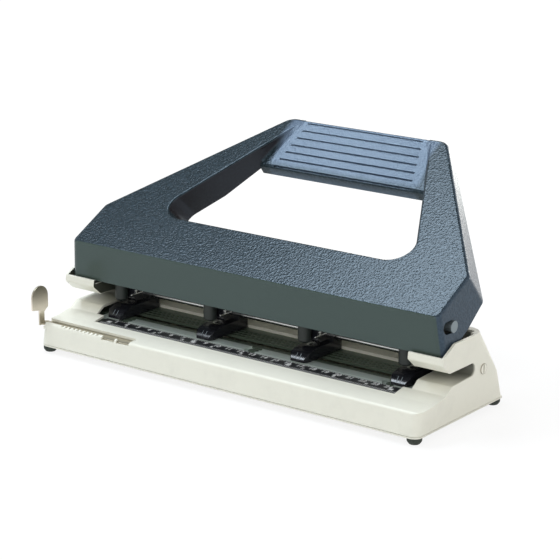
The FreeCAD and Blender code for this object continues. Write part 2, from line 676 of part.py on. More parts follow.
def make_slide_bar():
    body = new_body("slide_bar")
    low = D.LadderFoot + D.RailGauge
    back = D.BarFront + D.BarWidth
    half = D.RampHalf - D.ScaleGap
    points = [(-half, D.BarFront), (half, D.BarFront), (half, back), (-half, back)]
    pad(body, polygon(body, "XY_Plane", points, low), D.BarTop - low)
    middle = D.BarFront + D.BarWidth / 2
    for k in (-1, 0, 1):
        cup = circle(body, "XY_Plane", D.CupPitch * k, middle, D.CupRadius, D.BarTop)
        pocket(body, cup, D.CupDepth)
        hole = circle(body, "XY_Plane", D.CupPitch * k, middle, D.RailScrewShank, D.BarTop)
        pocket(body, hole, D.BarTop - low)
    finish(body, "slide_bar")
    seat = D.BarTop - D.CupDepth
    for k, label in ((-1, "left"), (0, "middle"), (1, "right")):
        name = "rail_screw_" + label
        foot = low - D.RailGauge * 2
        shank, head = D.RailScrewShank, D.RailScrewHead
        screw = turned(name, [(0.0, foot), (shank, foot), (shank, seat), (head, seat),
                              (head, seat + D.RailScrewRise / 2),
                              (shank, seat + D.RailScrewRise), (0.0, seat + D.RailScrewRise)])
        finish(screw, name, D.CupPitch * k, middle, 0.0)


def make_scale():
    body = new_body("scale_strip")
    half = D.WindowHalf - D.ScaleGap
    front, back = D.WindowReach + D.ScaleGap, D.ScaleBack
    points = [(-half, front), (half, front), (half, back), (-half, back)]
    pad(body, polygon(body, "XY_Plane", points, D.ScaleSeat), D.ScaleGauge)
    return finish(body, "scale_strip")


def make_shafts():
    axle = new_body("lever_axle")
    lever_side = D.LeverHalf + D.FlankFlare * D.LeverTop
    pad(axle, circle(axle, "YZ_Plane", 0.0, 0.0, D.AxleRadius), lever_side * 2, both=True)
    for side, back in ((1, False), (-1, True)):
        end = circle(axle, "YZ_Plane", 0.0, 0.0, D.AxleEndRadius,
                     (lever_side + D.HeadGap) * side)
        pad(axle, end, D.AxleProud, back=back)
        neck = circle(axle, "YZ_Plane", 0.0, 0.0, D.AxleRadius, lever_side * side)
        pad(axle, neck, D.HeadGap, back=back)
    finish(axle, "lever_axle", 0.0, D.AxleReach, D.AxleHeight)
    rod = bar_along_x("guide_rod", D.RodRadius, (D.PlateInner + D.PlateGauge) * 2)
    finish(rod, "guide_rod", 0.0, D.RodReach, D.RodHeight)


def make_end_plates():
    gauge = D.SheetGauge
    under = D.ThroatFloor - gauge * 2
    over = D.ThroatRoof + gauge + D.HeadGap
    stop = D.PinReach + D.HoleMargin + gauge + D.HeadGap
    front, high = D.AxleReach - D.PlateBoss, D.AxleHeight
    points = [(D.HousingReach, D.RailTop), (D.LadderReach, D.RailTop),
              (D.LadderReach, D.HeelHeight), (D.PlateBack, D.CheekTop),
              (D.AxleReach + D.PlateBoss, high), (D.AxleReach + D.PlateBoss / 2, high + D.PlateBoss),
              (D.AxleReach - D.PlateBoss / 2, high + D.PlateBoss), (front, high),
              (front, D.CheekTop), (D.AxleReach, over), (stop, over), (stop, under),
              (D.HousingReach, under)]
    for side, label in ((-1, "left"), (1, "right")):
        name = "end_plate_" + label
        body = new_body(name)
        start = D.PlateInner * side
        pad(body, polygon(body, "YZ_Plane", points, start), D.PlateGauge, back=side < 0)
        for reach, height, bore in ((D.AxleReach, D.AxleHeight, D.AxleRadius),
                                    (D.RodReach, D.RodHeight, D.RodRadius)):
            hole = circle(body, "YZ_Plane", reach, height, bore + D.PressFit, start)
            pocket(body, hole, D.PlateGauge * 2, both=True)
            body.Tip.Length = 4 * number(D.PlateGauge)
            bind(body.Tip, "Length", D.PlateGauge * 4)
        finish(body, name)
        make_side_screw(side, label)


def make_side_screw(side, label):
    """A round-headed slotted screw through the cover's cheek into the end plate."""
    name = "side_screw_" + label
    body = new_body(name)
    wall = D.BaseWidth / 2
    inner = D.PlateInner + D.PlateGauge
    back = side < 0
    pad(body, circle(body, "YZ_Plane", 0.0, 0.0, D.SideScrewShank, inner * side),
        wall - inner, back=back)
    pad(body, circle(body, "YZ_Plane", 0.0, 0.0, D.SideScrewHead, wall * side),
        D.SideScrewRise, back=back)
    slot = D.SideScrewSlot / 2
    reach = D.SideScrewHead * 2
    points = [(-slot, -reach), (slot, -reach), (slot, reach), (-slot, reach)]
    floor = wall + D.SideScrewRise - D.SideScrewCut
    pocket(body, polygon(body, "YZ_Plane", points, floor * side), D.SideScrewRise,
           back=not back)
    finish(body, name, 0.0, D.SideScrewReach, D.SideScrewHeight)


# ---------------------------------------------------------------- punch heads

def head_frame(index, x):
    """The cast frame: toe, tongue with the die, back web and the arm over the throat."""
    name = "head_%d_frame" % index
    body = new_body(name)
    foot = D.BarTop + D.HeadGap
    stop = D.PinReach + D.HoleMargin
    roof = D.TongueTop + D.PaperGap
    column_back = D.AxleReach + D.HeadBoss
    points = [(D.ToeReach, foot), (D.ToeReach, D.ToeHeight), (D.InstepReach, D.InstepHeight),
              (D.TongueReach, D.TongueTop), (stop, D.TongueTop), (stop, roof),
              (D.LeadReach + D.LeadRise, roof), (D.LeadReach, roof + D.LeadRise),
              (D.LeadReach, D.ColumnFoot), (D.ColumnReach, D.ColumnFoot),
              (D.ColumnReach, D.AxleHeight), (column_back, D.AxleHeight),
              (column_back, D.HousingTop), (D.HousingReach, D.HousingTop),
              (D.ShoulderReach, D.ShoulderHeight), (D.HeelReach, D.HeelHeight),
              (D.HeelReach, foot)]
    pad(body, polygon(body, "YZ_Plane", points), D.HeadWidth, both=True)
    pad(body, circle(body, "YZ_Plane", D.AxleReach, D.AxleHeight, D.HeadBoss),
        D.HeadWidth, both=True)
    half, cut = D.HeadWidth / 2, D.ToeTaper
    for side in (-1, 1):
        corner = [(half * side, D.ToeReach - cut), (half * side, D.ToeReach + cut * 2),
                  ((half - cut) * side, D.ToeReach), ((half - cut) * side, D.ToeReach - cut)]
        pocket(body, polygon(body, "XY_Plane", corner), roof, back=True)
    for reach, height, bore in ((D.AxleReach, D.AxleHeight, D.AxleRadius),
                                (D.RodReach, D.RodHeight, D.RodRadius)):
        hole = circle(body, "YZ_Plane", reach, height, bore + D.RunningFit)
        pocket(body, hole, D.HeadWidth * 2, both=True)
    die = D.TongueTop - D.DieHeight
    for radius, low, high in ((D.ChipHole, 0.0, die),
                              (D.DieRadius + D.PressFit, die, roof),
                              (D.PinRadius + D.RunningFit, roof, D.AxleHeight),
                              (D.SpringWell, D.SpringFoot, D.AxleHeight)):
        hole = circle(body, "XY_Plane", 0.0, D.PinReach, radius, low)
        pocket(body, hole, as_size(high) - low, back=True)
    stem = circle(body, "XY_Plane", 0.0, D.AxleReach, D.KnobStem + D.PressFit, D.KnobFoot)
    pocket(body, stem, D.AxleHeight - D.KnobFoot, back=True)
    return finish(body, name, x)


def head_pieces(index, x):
    prefix = "head_%d_" % index
    roof = D.TongueTop
    bore = D.PinRadius + D.RunningFit
    die = turned(prefix + "die", [(bore, roof - D.DieHeight), (D.DieRadius, roof - D.DieHeight),
                                  (D.DieRadius, roof), (bore, roof)])
    finish(die, prefix + "die", x, D.PinReach, 0.0)
    foot, edge = D.KnobFoot, D.KnobEdge
    top = D.AxleHeight - D.AxleRadius - D.HeadGap
    knob = turned(prefix + "knob", [(0.0, foot), (D.KnobRadius - edge * 2, foot),
                                    (D.KnobRadius, foot + edge * 2),
                                    (D.KnobRadius, D.ColumnFoot), (D.KnobStem, D.ColumnFoot),
                                    (D.KnobStem, top), (0.0, top)])
    finish(knob, prefix + "knob", x, D.AxleReach, 0.0)
    tip, nose = D.PinTip, D.AxleHeight + D.PressRise - D.PressNose - D.HeadGap
    pin = turned(prefix + "pin", [(0.0, tip + D.PinHollow), (D.PinRadius, tip),
                                  (D.PinRadius, nose - D.CapGauge), (D.CapRadius, nose - D.CapGauge),
                                  (D.CapRadius, nose), (0.0, nose)])
    finish(pin, prefix + "pin", x, D.PinReach, 0.0)
    low, high = D.SpringFoot, nose - D.CapGauge
    spring = turned(prefix + "spring", [(D.SpringBore, low), (D.SpringRadius, low),
                                        (D.SpringRadius, high), (D.SpringBore, high)])
    finish(spring, prefix + "spring", x, D.PinReach, 0.0)
    clip = new_body(prefix + "clip")
    side = D.HeadWidth / 2
    back = D.ClipReach + D.ClipLength
    neck = D.ClipEye / 2
    low, high = D.ClipHeight, D.ClipHeight + D.ClipWire
    points = [(D.ClipReach, low), (back, low), (back, high), (D.ClipEyeReach + neck, high),
              (D.ClipEyeReach + neck, D.ClipEyeHeight), (D.ClipEyeReach - neck, D.ClipEyeHeight),
              (D.ClipEyeReach - neck, high), (D.ClipReach, high)]
    pad(clip, polygon(clip, "YZ_Plane", points, side), D.ClipGauge)
    pad(clip, circle(clip, "YZ_Plane", D.ClipEyeReach, D.ClipEyeHeight, D.ClipEye, side),
        D.ClipGauge)
    finish(clip, prefix + "clip", x)


# ---------------------------------------------------------------- hand lever

def lever_outline(depth, inset):
    """The lever's plan at a depth under its top; the sides flare outwards with depth."""
    front, back = -D.LeverFront.value, number(D.LeverLength - D.LeverFront) - D.LeverFront.value
    elbow = front + D.LeverFlank.value - D.LeverFront.value
    half, tail = D.LeverHalf.value, D.LeverTail.value
    points = [(-half, front), (half, front), (half, elbow), (tail, back), (-tail, back),
              (-half, elbow)]
    flares = (D.FrontFlare, D.FlankFlare, D.TaperFlare, D.TaperFlare, D.TaperFlare,
              D.FlankFlare)
    offsets = [flare.value * depth - inset for flare in flares]
    radii = (D.LeverCorner, D.LeverCorner, D.ElbowCorner, D.TailCorner, D.TailCorner,
             D.ElbowCorner)
    return rounded_wire(moved_edges(points, offsets), [r.value - inset for r in radii],
                        D.LeverTop.value - depth)


def lever_block(inset):
    deep = D.SkirtDepth.value + inset
    return Part.makeLoft([lever_outline(inset, inset), lever_outline(deep, inset)], True, True)


def grip_outline(depth, inset):
    """The outline of the opening and the palm rest behind it."""
    front, back = D.GripFront.value, D.GripBack.value
    half, tail = D.GripHalf.value, D.GripTail.value
    points = [(-half, front), (half, front), (tail, back), (-tail, back)]
    lean = D.GripLean.value / D.GripWall.value * depth
    offsets = [inset - lean, inset - lean, inset, inset - lean]
    radii = (D.GripCorner, D.GripCorner, D.GripTailCorner, D.GripTailCorner)
    return rounded_wire(moved_edges(points, offsets), [r.value + inset for r in radii],
                        D.LeverTop.value - depth)


def grip_block(top, deep, inset):
    return Part.makeLoft([grip_outline(top, inset), grip_outline(deep, inset)], True, True)


def palm_profile(top, inset):
    """Side view of the palm rest down to its lip; an inset gives its underside."""
    back, front = D.GripBack.value, number(D.GripBack - D.PalmLength)
    drop, gauge, lip = D.PalmDrop.value, D.PalmGauge.value, D.PalmLip.value
    bend = D.PalmRound.value
    tilt_by = math.atan2(drop, back - front)
    y, z, radius = front + bend, top - drop - bend / 2, bend - inset
    points = [(back + gauge, top + gauge * math.tan(tilt_by) - inset)]
    for k in range(4):
        turn = math.pi / 2 + tilt_by + (math.pi / 2 - tilt_by) * k / 3
        points.append((y + radius * math.cos(turn), z + radius * math.sin(turn)))
    return points + [(front + inset, top - drop - lip)]


def opening_edges(shell, top):
    """The upper edges of the opening's front and sides."""
    wide, slack = D.GripHalf.value, D.LeverGauge.value / 2
    near, far = D.GripFront.value - slack, D.GripBack.value - 2 * D.GripRound.value
    return [e for e in shell.Edges if e.BoundBox.ZMin > top - slack / 10
            and -wide - slack < e.BoundBox.XMin and e.BoundBox.XMax < wide + slack
            and near < e.BoundBox.YMin and e.BoundBox.YMax < far]


def palm_cove(side, top):
    """The hollow round between the palm rest and one wall of the opening."""
    front, back = D.GripFront.value, D.GripBack.value
    run, narrow = back - front, D.GripHalf.value - D.GripTail.value
    length = math.hypot(run, narrow)
    wall = Vector(-side * run / length, -narrow / length, D.GripLean.value / D.GripWall.value)
    rest = Vector(0, -D.PalmDrop.value / D.PalmLength.value, 1)
    along = rest.cross(wall) * side
    for arrow in (wall, rest, along):
        arrow.normalize()
    start = Vector(side * D.GripTail.value, back, top)
    radius = D.PalmCove.value
    middle = start + (wall + rest) * (radius / (1 + wall.dot(rest)))
    on_rest, on_wall = middle - rest * radius, middle - wall * radius
    deep = start - (wall + rest) * D.PalmGauge.value / 4
    bend = middle - (wall + rest).normalize() * radius
    edges = [Part.makeLine(deep, on_rest), Part.Arc(on_rest, bend, on_wall).toShape(),
             Part.makeLine(on_wall, deep)]
    reach = D.PalmLength.value * (length / run + D.PalmRound.value / radius)
    face = Part.Face(Part.Wire(edges))
    if along.y > 0:
        along = -along
    cove = face.extrude(along * reach)
    wide = D.GripHalf.value
    bend_end = back - D.PalmLength.value + D.PalmRound.value
    return cove.common(slab(-wide, wide, bend_end, back, -top, top))


def make_lever():
    gauge, top = D.LeverGauge.value, D.LeverTop.value
    wall = D.GripWall.value
    skin = lever_block(0.0)
    rim = [e for e in skin.Edges if e.BoundBox.ZMin > top - 0.01]
    skin = skin.makeFillet(D.EdgeRound.value, rim)
    skin = skin.cut(grip_block(-2.0, 2 * wall, 0.0))
    skin = skin.makeFillet(D.GripRound.value, opening_edges(skin, top))
    shell = skin.cut(lever_block(gauge).cut(grip_block(-2.0, wall, gauge)))
    wide = 2 * D.LeverHalf.value
    inner = palm_profile(top, D.PalmGauge.value)
    palm = palm_profile(top, 0.0) + inner[::-1]
    deep = top - D.SkirtDepth.value - gauge
    below = inner + [(inner[-1][0], deep), (inner[0][0], deep)]
    hidden = prism(below, -wide, wide).common(grip_block(-2.0, 2 * wall, gauge + 0.01))
    shell = shell.cut(hidden)
    shell = shell.cut(prism(skirt_trim(), -wide, wide))
    shell = shell.fuse(prism(palm, -wide, wide).common(grip_block(0.0, 1.2 * wall, gauge / 2)))
    shell = shell.multiFuse([palm_cove(1, top), palm_cove(-1, top)])
    for cut in palm_grooves() + axle_slots():
        shell = shell.cut(cut)
    obj = doc.addObject("Part::Feature", "lever_shell")
    obj.Shape = shell.removeSplitter()
    return tilt(obj, "lever_shell")


def skirt_trim():
    """What is cut away under the skirt, so that it gets shallower towards the back."""
    top, start = D.LeverTop.value, -2 * D.LeverFront.value
    deep = D.SkirtDepth.value
    steps = [(-deep, D.TrimDepthFront.value), (D.TrimReach1.value, D.TrimDepthFront.value),
             (number(D.TrimReach1 + D.TrimStep), D.TrimDepth1.value),
             (D.TrimReach2.value, D.TrimDepth2.value), (D.TrimReach3.value, D.TrimDepth3.value),
             (D.TrimReach4.value, D.TrimDepth4.value), (D.TrimReach5.value, D.TrimDepth5.value),
             (D.LeverLength.value + deep, D.TrimDepthBack.value)]
    points = [(start + reach, top - depth) for reach, depth in steps]
    low = top - 3 * deep
    return points + [(points[-1][0], low), (points[0][0], low)]


def palm_grooves():
    slope = math.degrees(math.atan2(D.PalmDrop.value, D.PalmLength.value))
    cuts = []
    for k in range(int(D.RibCount.value)):
        back = number(D.RibStart + D.RibPitch * k)
        half = number(D.RibHalf + D.RibGrowth * k)
        cut = slab(-half, half, -D.RibWidth.value / 2, D.RibWidth.value / 2,
                   -D.RibDepth.value, D.RibDepth.value * 2)
        cut.rotate(Vector(0, 0, 0), Vector(1, 0, 0), slope)
        drop = back * D.PalmDrop.value / D.PalmLength.value
        cut.translate(Vector(0, D.GripBack.value - back, D.LeverTop.value - drop))
        cuts.append(cut)
    return cuts


def axle_slots():
    """An oblong slot in each flank, level with the axle when the lever is at rest."""
    radius = number(D.AxleRadius) + 0.4
    run = D.SlotRun.value
    low, high = D.HingeInner.value, D.LeverHalf.value + D.SkirtDepth.value
    cuts = []
    for side in (-1, 1):
        start = Vector(side * low, 0, 0)
        way = Vector(side, 0, 0)
        lift = Placement(Vector(0, 0, 0), Rotation(Vector(1, 0, 0), -D.LeverTilt.value))
        round_end = Part.makeCylinder(radius, high - low, start, way)
        front_end = Part.makeCylinder(radius, high - low, start + Vector(0, -run, 0), way)
        x0, x1 = sorted((side * low, side * high))
        block = slab(x0, x1, -run, 0.0, -radius, radius)
        slot = round_end.multiFuse([front_end, block])
        slot.Placement = lift
        cuts.append(slot)
    return cuts


def make_hinge_plates():
    under = D.LeverTop - D.LeverGauge
    boss, half = D.HingeBoss, D.HingeHalf
    front = D.LeverGauge + D.SideGap * 4 - D.LeverFront
    points = [(front, under), (-boss, 0.0), (-boss * 0.7, -boss * 0.7), (0.0, -boss),
              (boss * 0.7, -boss * 0.7), (boss, 0.0), (half, under)]
    for side, label in ((-1, "left"), (1, "right")):
        name = "hinge_plate_" + label
        body = new_body(name)
        start = D.HingeInner * side
        pad(body, polygon(body, "YZ_Plane", points, start), D.HingeGauge, back=side < 0)
        hole = circle(body, "YZ_Plane", 0.0, 0.0, D.AxleRadius + D.RunningFit, start)
        pocket(body, hole, D.HingeGauge * 4, both=True)
        tilt(body, name)


def make_press_bar():
    """The bar under the lever whose round nose drives the four pins."""
    body = new_body("press_bar")
    angle = math.radians(D.LeverTilt.value)
    reach, rise = D.PinReach - D.AxleReach, D.PressRise
    cos, sin = "cos(Dims.LeverTilt)", "sin(Dims.LeverTilt)"
    across = Size(reach.value * math.cos(angle) + rise.value * math.sin(angle),
                  "(%s * %s + %s * %s)" % (reach.text, cos, rise.text, sin))
    up = Size(rise.value * math.cos(angle) - reach.value * math.sin(angle),
              "(%s * %s - %s * %s)" % (rise.text, cos, reach.text, sin))
    web = D.PressWeb / 2
    under = D.LeverTop - D.LeverGauge
    points = [(across - web, under), (across - web, up), (across + web, up),
              (across + web, under)]
    pad(body, polygon(body, "YZ_Plane", points), D.PressHalf * 2, both=True)
    pad(body, circle(body, "YZ_Plane", across, up, D.PressNose), D.PressHalf * 2, both=True)
    return tilt(body, "press_bar")


# ---------------------------------------------------------------- tray, feet and guide

def rounded_box(name, x_half, y0, y1, z0, z1, front, back):
    """A box whose four upright edges are rounded."""
    box = doc.addObject("Part::Box", name + "_block")
    bind(box, "Length", as_size(x_half) * 2)
    bind(box, "Width", as_size(y1) - y0)
    bind(box, "Height", as_size(z1) - z0)
    for axis, size in (("x", -as_size(x_half)), ("y", y0), ("z", z0)):
        bind(box, "Placement.Base." + axis, size)
    doc.recompute()
    edges = []
    for i, edge in enumerate(box.Shape.Edges, start=1):
        if edge.BoundBox.ZLength > 0.9 * number(as_size(z1) - z0):
            near = edge.BoundBox.YMin < number(y0) + 1
            radius = number(front if near else back)
            edges.append((i, radius, radius))
    rounded = doc.addObject("Part::Fillet", name)
    rounded.Base = box
    rounded.Edges = edges
    return rounded


def make_tray():
    half = D.BaseWidth / 2
    rim_top = D.TrayFloor + D.TrayRim
    floor = D.TrayFloor + D.TrayGauge
    inset = D.TrayInset
    rim = rounded_box("tray_rim", half, 0.0, D.BaseDepth, D.TrayFloor, rim_top,
                      D.FrontCorner, D.BackCorner)
    wall = rounded_box("tray_wall", half - inset, inset, D.TrayBack, D.TrayFloor, D.TrayWall,
                       D.FrontCorner / 2, D.BackCorner / 2)
    deep = inset + D.TrayGauge
    cavity = rounded_box("tray_cavity", half - deep, deep, D.TrayBack - D.TrayGauge, floor,
                         D.TrayWall * 2, D.FrontCorner / 4, D.BackCorner / 3)
    both = doc.addObject("Part::Fuse", "tray_solid")
    both.Base, both.Tool = rim, wall
    tray = doc.addObject("Part::Cut", "chip_tray")
    tray.Base, tray.Tool = both, cavity
    return finish(tray, "chip_tray")


def make_feet():
    inset = D.FootInset
    x, back = D.BaseWidth / 2 - inset, D.BaseDepth - inset
    top = D.TrayFloor
    places = (("front_left", -x, inset), ("front_right", x, inset),
              ("back_left", -x, back), ("back_right", x, back))
    for label, x_at, y_at in places:
        name = "foot_" + label
        foot = turned(name, [(0.0, 0.0), (D.FootTip, 0.0), (D.FootRadius, D.FootStep),
                             (D.FootRadius, top), (0.0, top)])
        finish(foot, name, x_at, y_at, 0.0)


def make_guide():
    """A flat bar in the front slot, bent up into a rounded tab that the paper meets."""
    body = new_body("paper_guide")
    low, gauge = D.GuideHeight, D.GuideGauge
    front, back = D.GuideFront, D.GuideFront + D.GuideWidth
    outer = -(D.TabStand + gauge / 2)
    bar = [(outer, front), (-D.GuideBack, front), (-D.GuideBack, back), (outer, back)]
    pad(body, polygon(body, "XY_Plane", bar, low), gauge)
    middle, radius = D.TabReach, D.TabRadius
    shoulder = D.TabTop - radius
    near, far = D.NeckFront, D.NeckFront + D.NeckWidth
    tab = [(near, low), (back, low), (back, low + gauge), (far, low + gauge * 2),
           (far, D.NeckTop), (middle + radius, D.TabFoot), (middle + radius, shoulder),
           (middle - radius, shoulder), (middle - radius, D.TabFoot),
           (near, D.TabFoot - gauge)]
    pad(body, polygon(body, "YZ_Plane", tab, outer), gauge)
    pad(body, circle(body, "YZ_Plane", middle, shoulder, radius, outer), gauge)
    return finish(body, "paper_guide")


def build():
    make_cover()
    make_rail()
    make_slide_bar()
    make_scale()
    make_shafts()
    make_end_plates()
    for index in range(1, 5):
        x = D.HeadPitch * (index - 2.5)
        head_frame(index, x)
        head_pieces(index, x)
    make_lever()
    make_hinge_plates()
    make_press_bar()
    make_tray()
    make_feet()
    make_guide()
    doc.recompute()


def export():
    for obj in doc.Objects:
        if "Invalid" in obj.State or "Error" in obj.State:
            raise RuntimeError("%s failed: %s" % (obj.Label, obj.State))
    for obj in NODES:
        shape = obj.Shape
        if shape.isNull() or not shape.isValid() or len(shape.Solids) != 1:
            raise RuntimeError("%s is not one valid solid" % obj.Label)
    os.makedirs("parts", exist_ok=True)
    for obj in NODES:
        obj.Shape.exportStep("parts/%s.step" % obj.Label)
    print("%d sub-parts written" % len(NODES))


build()
export()
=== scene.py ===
"""Looks of a four-hole paper punch: enamelled base, grained hand lever, sliding heads."""

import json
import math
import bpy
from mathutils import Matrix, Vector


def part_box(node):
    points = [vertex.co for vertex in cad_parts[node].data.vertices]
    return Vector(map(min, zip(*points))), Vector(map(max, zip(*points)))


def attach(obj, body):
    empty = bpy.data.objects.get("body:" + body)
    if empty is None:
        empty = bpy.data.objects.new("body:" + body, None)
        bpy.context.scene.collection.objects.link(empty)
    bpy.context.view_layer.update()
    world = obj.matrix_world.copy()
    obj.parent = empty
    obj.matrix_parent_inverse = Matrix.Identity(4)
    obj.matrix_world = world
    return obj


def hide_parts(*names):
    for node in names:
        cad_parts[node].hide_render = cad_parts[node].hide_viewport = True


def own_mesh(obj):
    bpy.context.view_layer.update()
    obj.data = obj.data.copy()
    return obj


bl_info = {
    "name": "Paper Punch",
    "version": (1, 0, 0),
    "blender": (4, 5, 0),
    "location": "View3D > Sidebar > Punch",
    "description": "Finishes and fine pieces of a desk paper punch on its CAD frame",
    "category": "Object",
}

import bmesh
import bpy
from mathutils import Euler, Vector

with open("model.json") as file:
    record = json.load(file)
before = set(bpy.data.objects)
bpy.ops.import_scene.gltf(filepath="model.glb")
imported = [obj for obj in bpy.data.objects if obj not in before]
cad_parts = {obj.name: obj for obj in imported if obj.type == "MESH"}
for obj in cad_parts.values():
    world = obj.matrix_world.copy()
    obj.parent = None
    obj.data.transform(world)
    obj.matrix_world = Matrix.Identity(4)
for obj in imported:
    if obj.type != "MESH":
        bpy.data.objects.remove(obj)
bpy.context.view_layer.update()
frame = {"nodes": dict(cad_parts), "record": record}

NODES = frame["nodes"]
BODY_OF = {node: body for body, nodes in frame["record"]["behaviour"]["bodies"].items()
           for node in nodes}
HEADS = (1, 2, 3, 4)
SIDES = ("left", "right")
MM = 0.001
MERGE = 0.004 * MM  # points of a CAD copy that lie nearer are one
FLAT = math.radians(0.15)  # facets that differ by less become one face
INK = 0.03 * MM  # how far the print stands proud
FACING = (-0.995, -0.096)  # the way the lever's front face looks, in y and z
FRONT_FACE = max(FACING[0] * v.co.y + FACING[1] * v.co.z
                 for v in NODES["lever_shell"].data.vertices)

MIDDLE = (0.0, 0.02, 0.05)  # of the punch, where most lamps look
# name, place, target, width, depth, power and colour
LAMPS = (
    ("key", (-0.42, 0.17, 1.10), MIDDLE, 0.45, 0.34, 5.2, (0.86, 0.94, 1.0)),
    ("palm", (-0.64, -0.12, 1.00), MIDDLE, 0.40, 0.28, 3.4, (0.86, 0.93, 1.0)),
    ("heads", (-0.53, -0.38, 0.98), MIDDLE, 0.24, 0.20, 1.8, (0.80, 0.90, 1.0)),
    ("rear", (0.0, 0.85, 0.36), (0.0, 0.05, 0.03), 1.1, 0.35, 0.9, (1.0, 1.0, 0.96)),
    ("low", (0.0, 0.47, 0.13), (0.0, 0.04, 0.02), 0.9, 0.10, 0.85, (1.0, 1.0, 0.94)),
    ("fill", (0.55, -1.55, 0.75), MIDDLE, 1.6, 1.2, 9.8, (1.0, 1.0, 0.97)),
    ("side", (1.50, 0.10, 0.80), MIDDLE, 1.2, 1.0, 5.0, (1.0, 0.96, 0.92)),
)
CAMERA_PLACE = (0.814877, -1.06267, 0.454506)
CAMERA_TURN = (73.89593, -0.10828, 37.03535)  # degrees
LENS, SENSOR = 133.785, 36.0


# ---------------------------------------------------------------- shader sums

class Wire:
    """One shader socket; sums on it add Math nodes to the same tree."""

    def __init__(self, tree, socket):
        self.tree, self.socket = tree, socket

    def _math(self, operation, first, second=None, clamp=False):
        node = self.tree.nodes.new("ShaderNodeMath")
        node.operation, node.use_clamp = operation, clamp
        for slot, value in zip(node.inputs, (first, second)):
            if isinstance(value, Wire):
                self.tree.links.new(value.socket, slot)
            elif value is not None:
                slot.default_value = value
        return Wire(self.tree, node.outputs[0])

    def __add__(self, other):
        return self._math("ADD", self, other)

    def __sub__(self, other):
        return self._math("SUBTRACT", self, other)

    def __rsub__(self, other):
        return self._math("SUBTRACT", other, self)

    def __mul__(self, other):
        return self._math("MULTIPLY", self, other)

    __radd__, __rmul__ = __add__, __mul__

    def __abs__(self):
        return self._math("ABSOLUTE", self)

    def sign(self):
        """1 above 0 and -1 below it."""
        return self._math("SIGN", self)

    def clamp(self):
        """Held between 0 and 1."""
        return self._math("ADD", self, 0.0, clamp=True)

    def above(self, level, soft):
        """0 below the level and 1 over it, with a soft step."""
        return self._math("MULTIPLY", self - (level - soft / 2), 1.0 / soft, clamp=True)


class Nodes:
    """An emptied node tree, with one method that adds any node but the sums."""

    def __init__(self, owner):
        owner.use_nodes = True
        self.tree = owner.node_tree
        self.tree.nodes.clear()

    def add(self, kind, settings=None, **sockets):
        """Adds a node, sets it up and feeds its sockets."""
        node = self.tree.nodes.new(kind)
        for key, value in (settings or {}).items():
            setattr(node, key, value)
        self.feed(node, sockets)
        return node

    def node(self, kind, settings=None, output=0, **sockets):
        """The same, and gives back one output of the node."""
        return Wire(self.tree, self.add(kind, settings, **sockets).outputs[output])

    def feed(self, node, sockets):
        """Links or sets each socket, which is named by word, or by number after an s."""
        for key, value in sockets.items():
            slot = node.inputs[int(key[1:]) if key[1:].isdigit() else key.replace("_", " ")]
            if isinstance(value, Wire):
                self.tree.links.new(value.socket, slot)
            else:
                slot.default_value = value

    def rays(self):
        """1 for camera, for glossy and for transmission rays, each on its own."""
        path = self.add("ShaderNodeLightPath")
        return [Wire(self.tree, path.outputs["Is %s Ray" % kind])
                for kind in ("Camera", "Glossy", "Transmission")]


class Finish(Nodes):
    """One material, with its main shader."""

    def __init__(self, name):
        self.material = bpy.data.materials.new(name)
        super().__init__(self.material)
        self.shader = self.add("ShaderNodeBsdfPrincipled")
        self.output = self.add("ShaderNodeOutputMaterial",
                               Surface=Wire(self.tree, self.shader.outputs[0]))

    def main(self, **sockets):
        """Feeds the main shader and gives back the material."""
        self.feed(self.shader, sockets)
        return self.material

    def here(self):
        """The object coordinates."""
        return self.node("ShaderNodeTexCoord", output="Object")

    def place(self, scale=(1.0, 1.0, 1.0)):
        """The object coordinates, stretched."""
        return self.node("ShaderNodeMapping", Vector=self.here(), Scale=scale)

    def axes(self):
        """The three object coordinates, each on its own."""
        split = self.add("ShaderNodeSeparateXYZ", Vector=self.here())
        return [Wire(self.tree, socket) for socket in split.outputs]

    def across(self):
        """How far a face looks away from the middle; less than 0 where it looks inwards."""
        normal = self.node("ShaderNodeNewGeometry", output="Normal")
        return self.axes()[0].sign() * self.node("ShaderNodeSeparateXYZ", Vector=normal)

    def clouds(self, scale, detail=3.0, rough=0.55, at=None):
        """Soft irregular noise from 0 to 1."""
        return self.node("ShaderNodeTexNoise", Vector=at or self.place(), Scale=scale,
                         Detail=detail, Roughness=rough)

    def cells(self, scale, at, smooth):
        """Rounded cells, as the pebbles of a grain."""
        return self.node("ShaderNodeTexVoronoi", {"feature": "SMOOTH_F1"},
                         Vector=at, Scale=scale, Smoothness=smooth)

    def blend(self, amount, first, second):
        """The first colour where the amount is 0, the second where it is 1."""
        first, second = (end if isinstance(end, Wire) else (*end[:3], 1.0)
                         for end in (first, second))
        return self.node("ShaderNodeMix", {"data_type": "RGBA"}, output=2,
                         s0=amount, s6=first, s7=second)

    def bump(self, height, strength, distance):
        """A normal that follows the height."""
        return self.node("ShaderNodeBump", Height=height, Strength=strength, Distance=distance)


def tint(colour, by):
    """The colour made lighter or darker."""
    return tuple(min(1.0, channel * by) for channel in colour[:3])


# ---------------------------------------------------------------- finishes

def painted_slot_and_wall_shade(f):
    """1 where shade is painted on the enamel: deep in the paper slot and on walls that face
    inwards.
    """
    x, y, z = f.axes()
    # painted shade deep in the paper slot, under the jaw
    cheek = abs(x).above(127.0 * MM, 4.0 * MM) * (1.0 - abs(x).above(157.6 * MM, 1.4 * MM))
    depth = y.above(-1.0 * MM, 26.0 * MM) * (1.0 - y.above(30.0 * MM, 2.0 * MM))
    height = z.above(25.6 * MM, 2.0 * MM) * (1.0 - z.above(39.2 * MM, 0.4 * MM))
    # painted shade on the walls that face inwards
    inward = (f.across() * -1.0).above(0.75, 0.1) * z.above(38.5 * MM, 1.0 * MM)
    return (cheek * depth * height * 0.85 + inward).clamp()


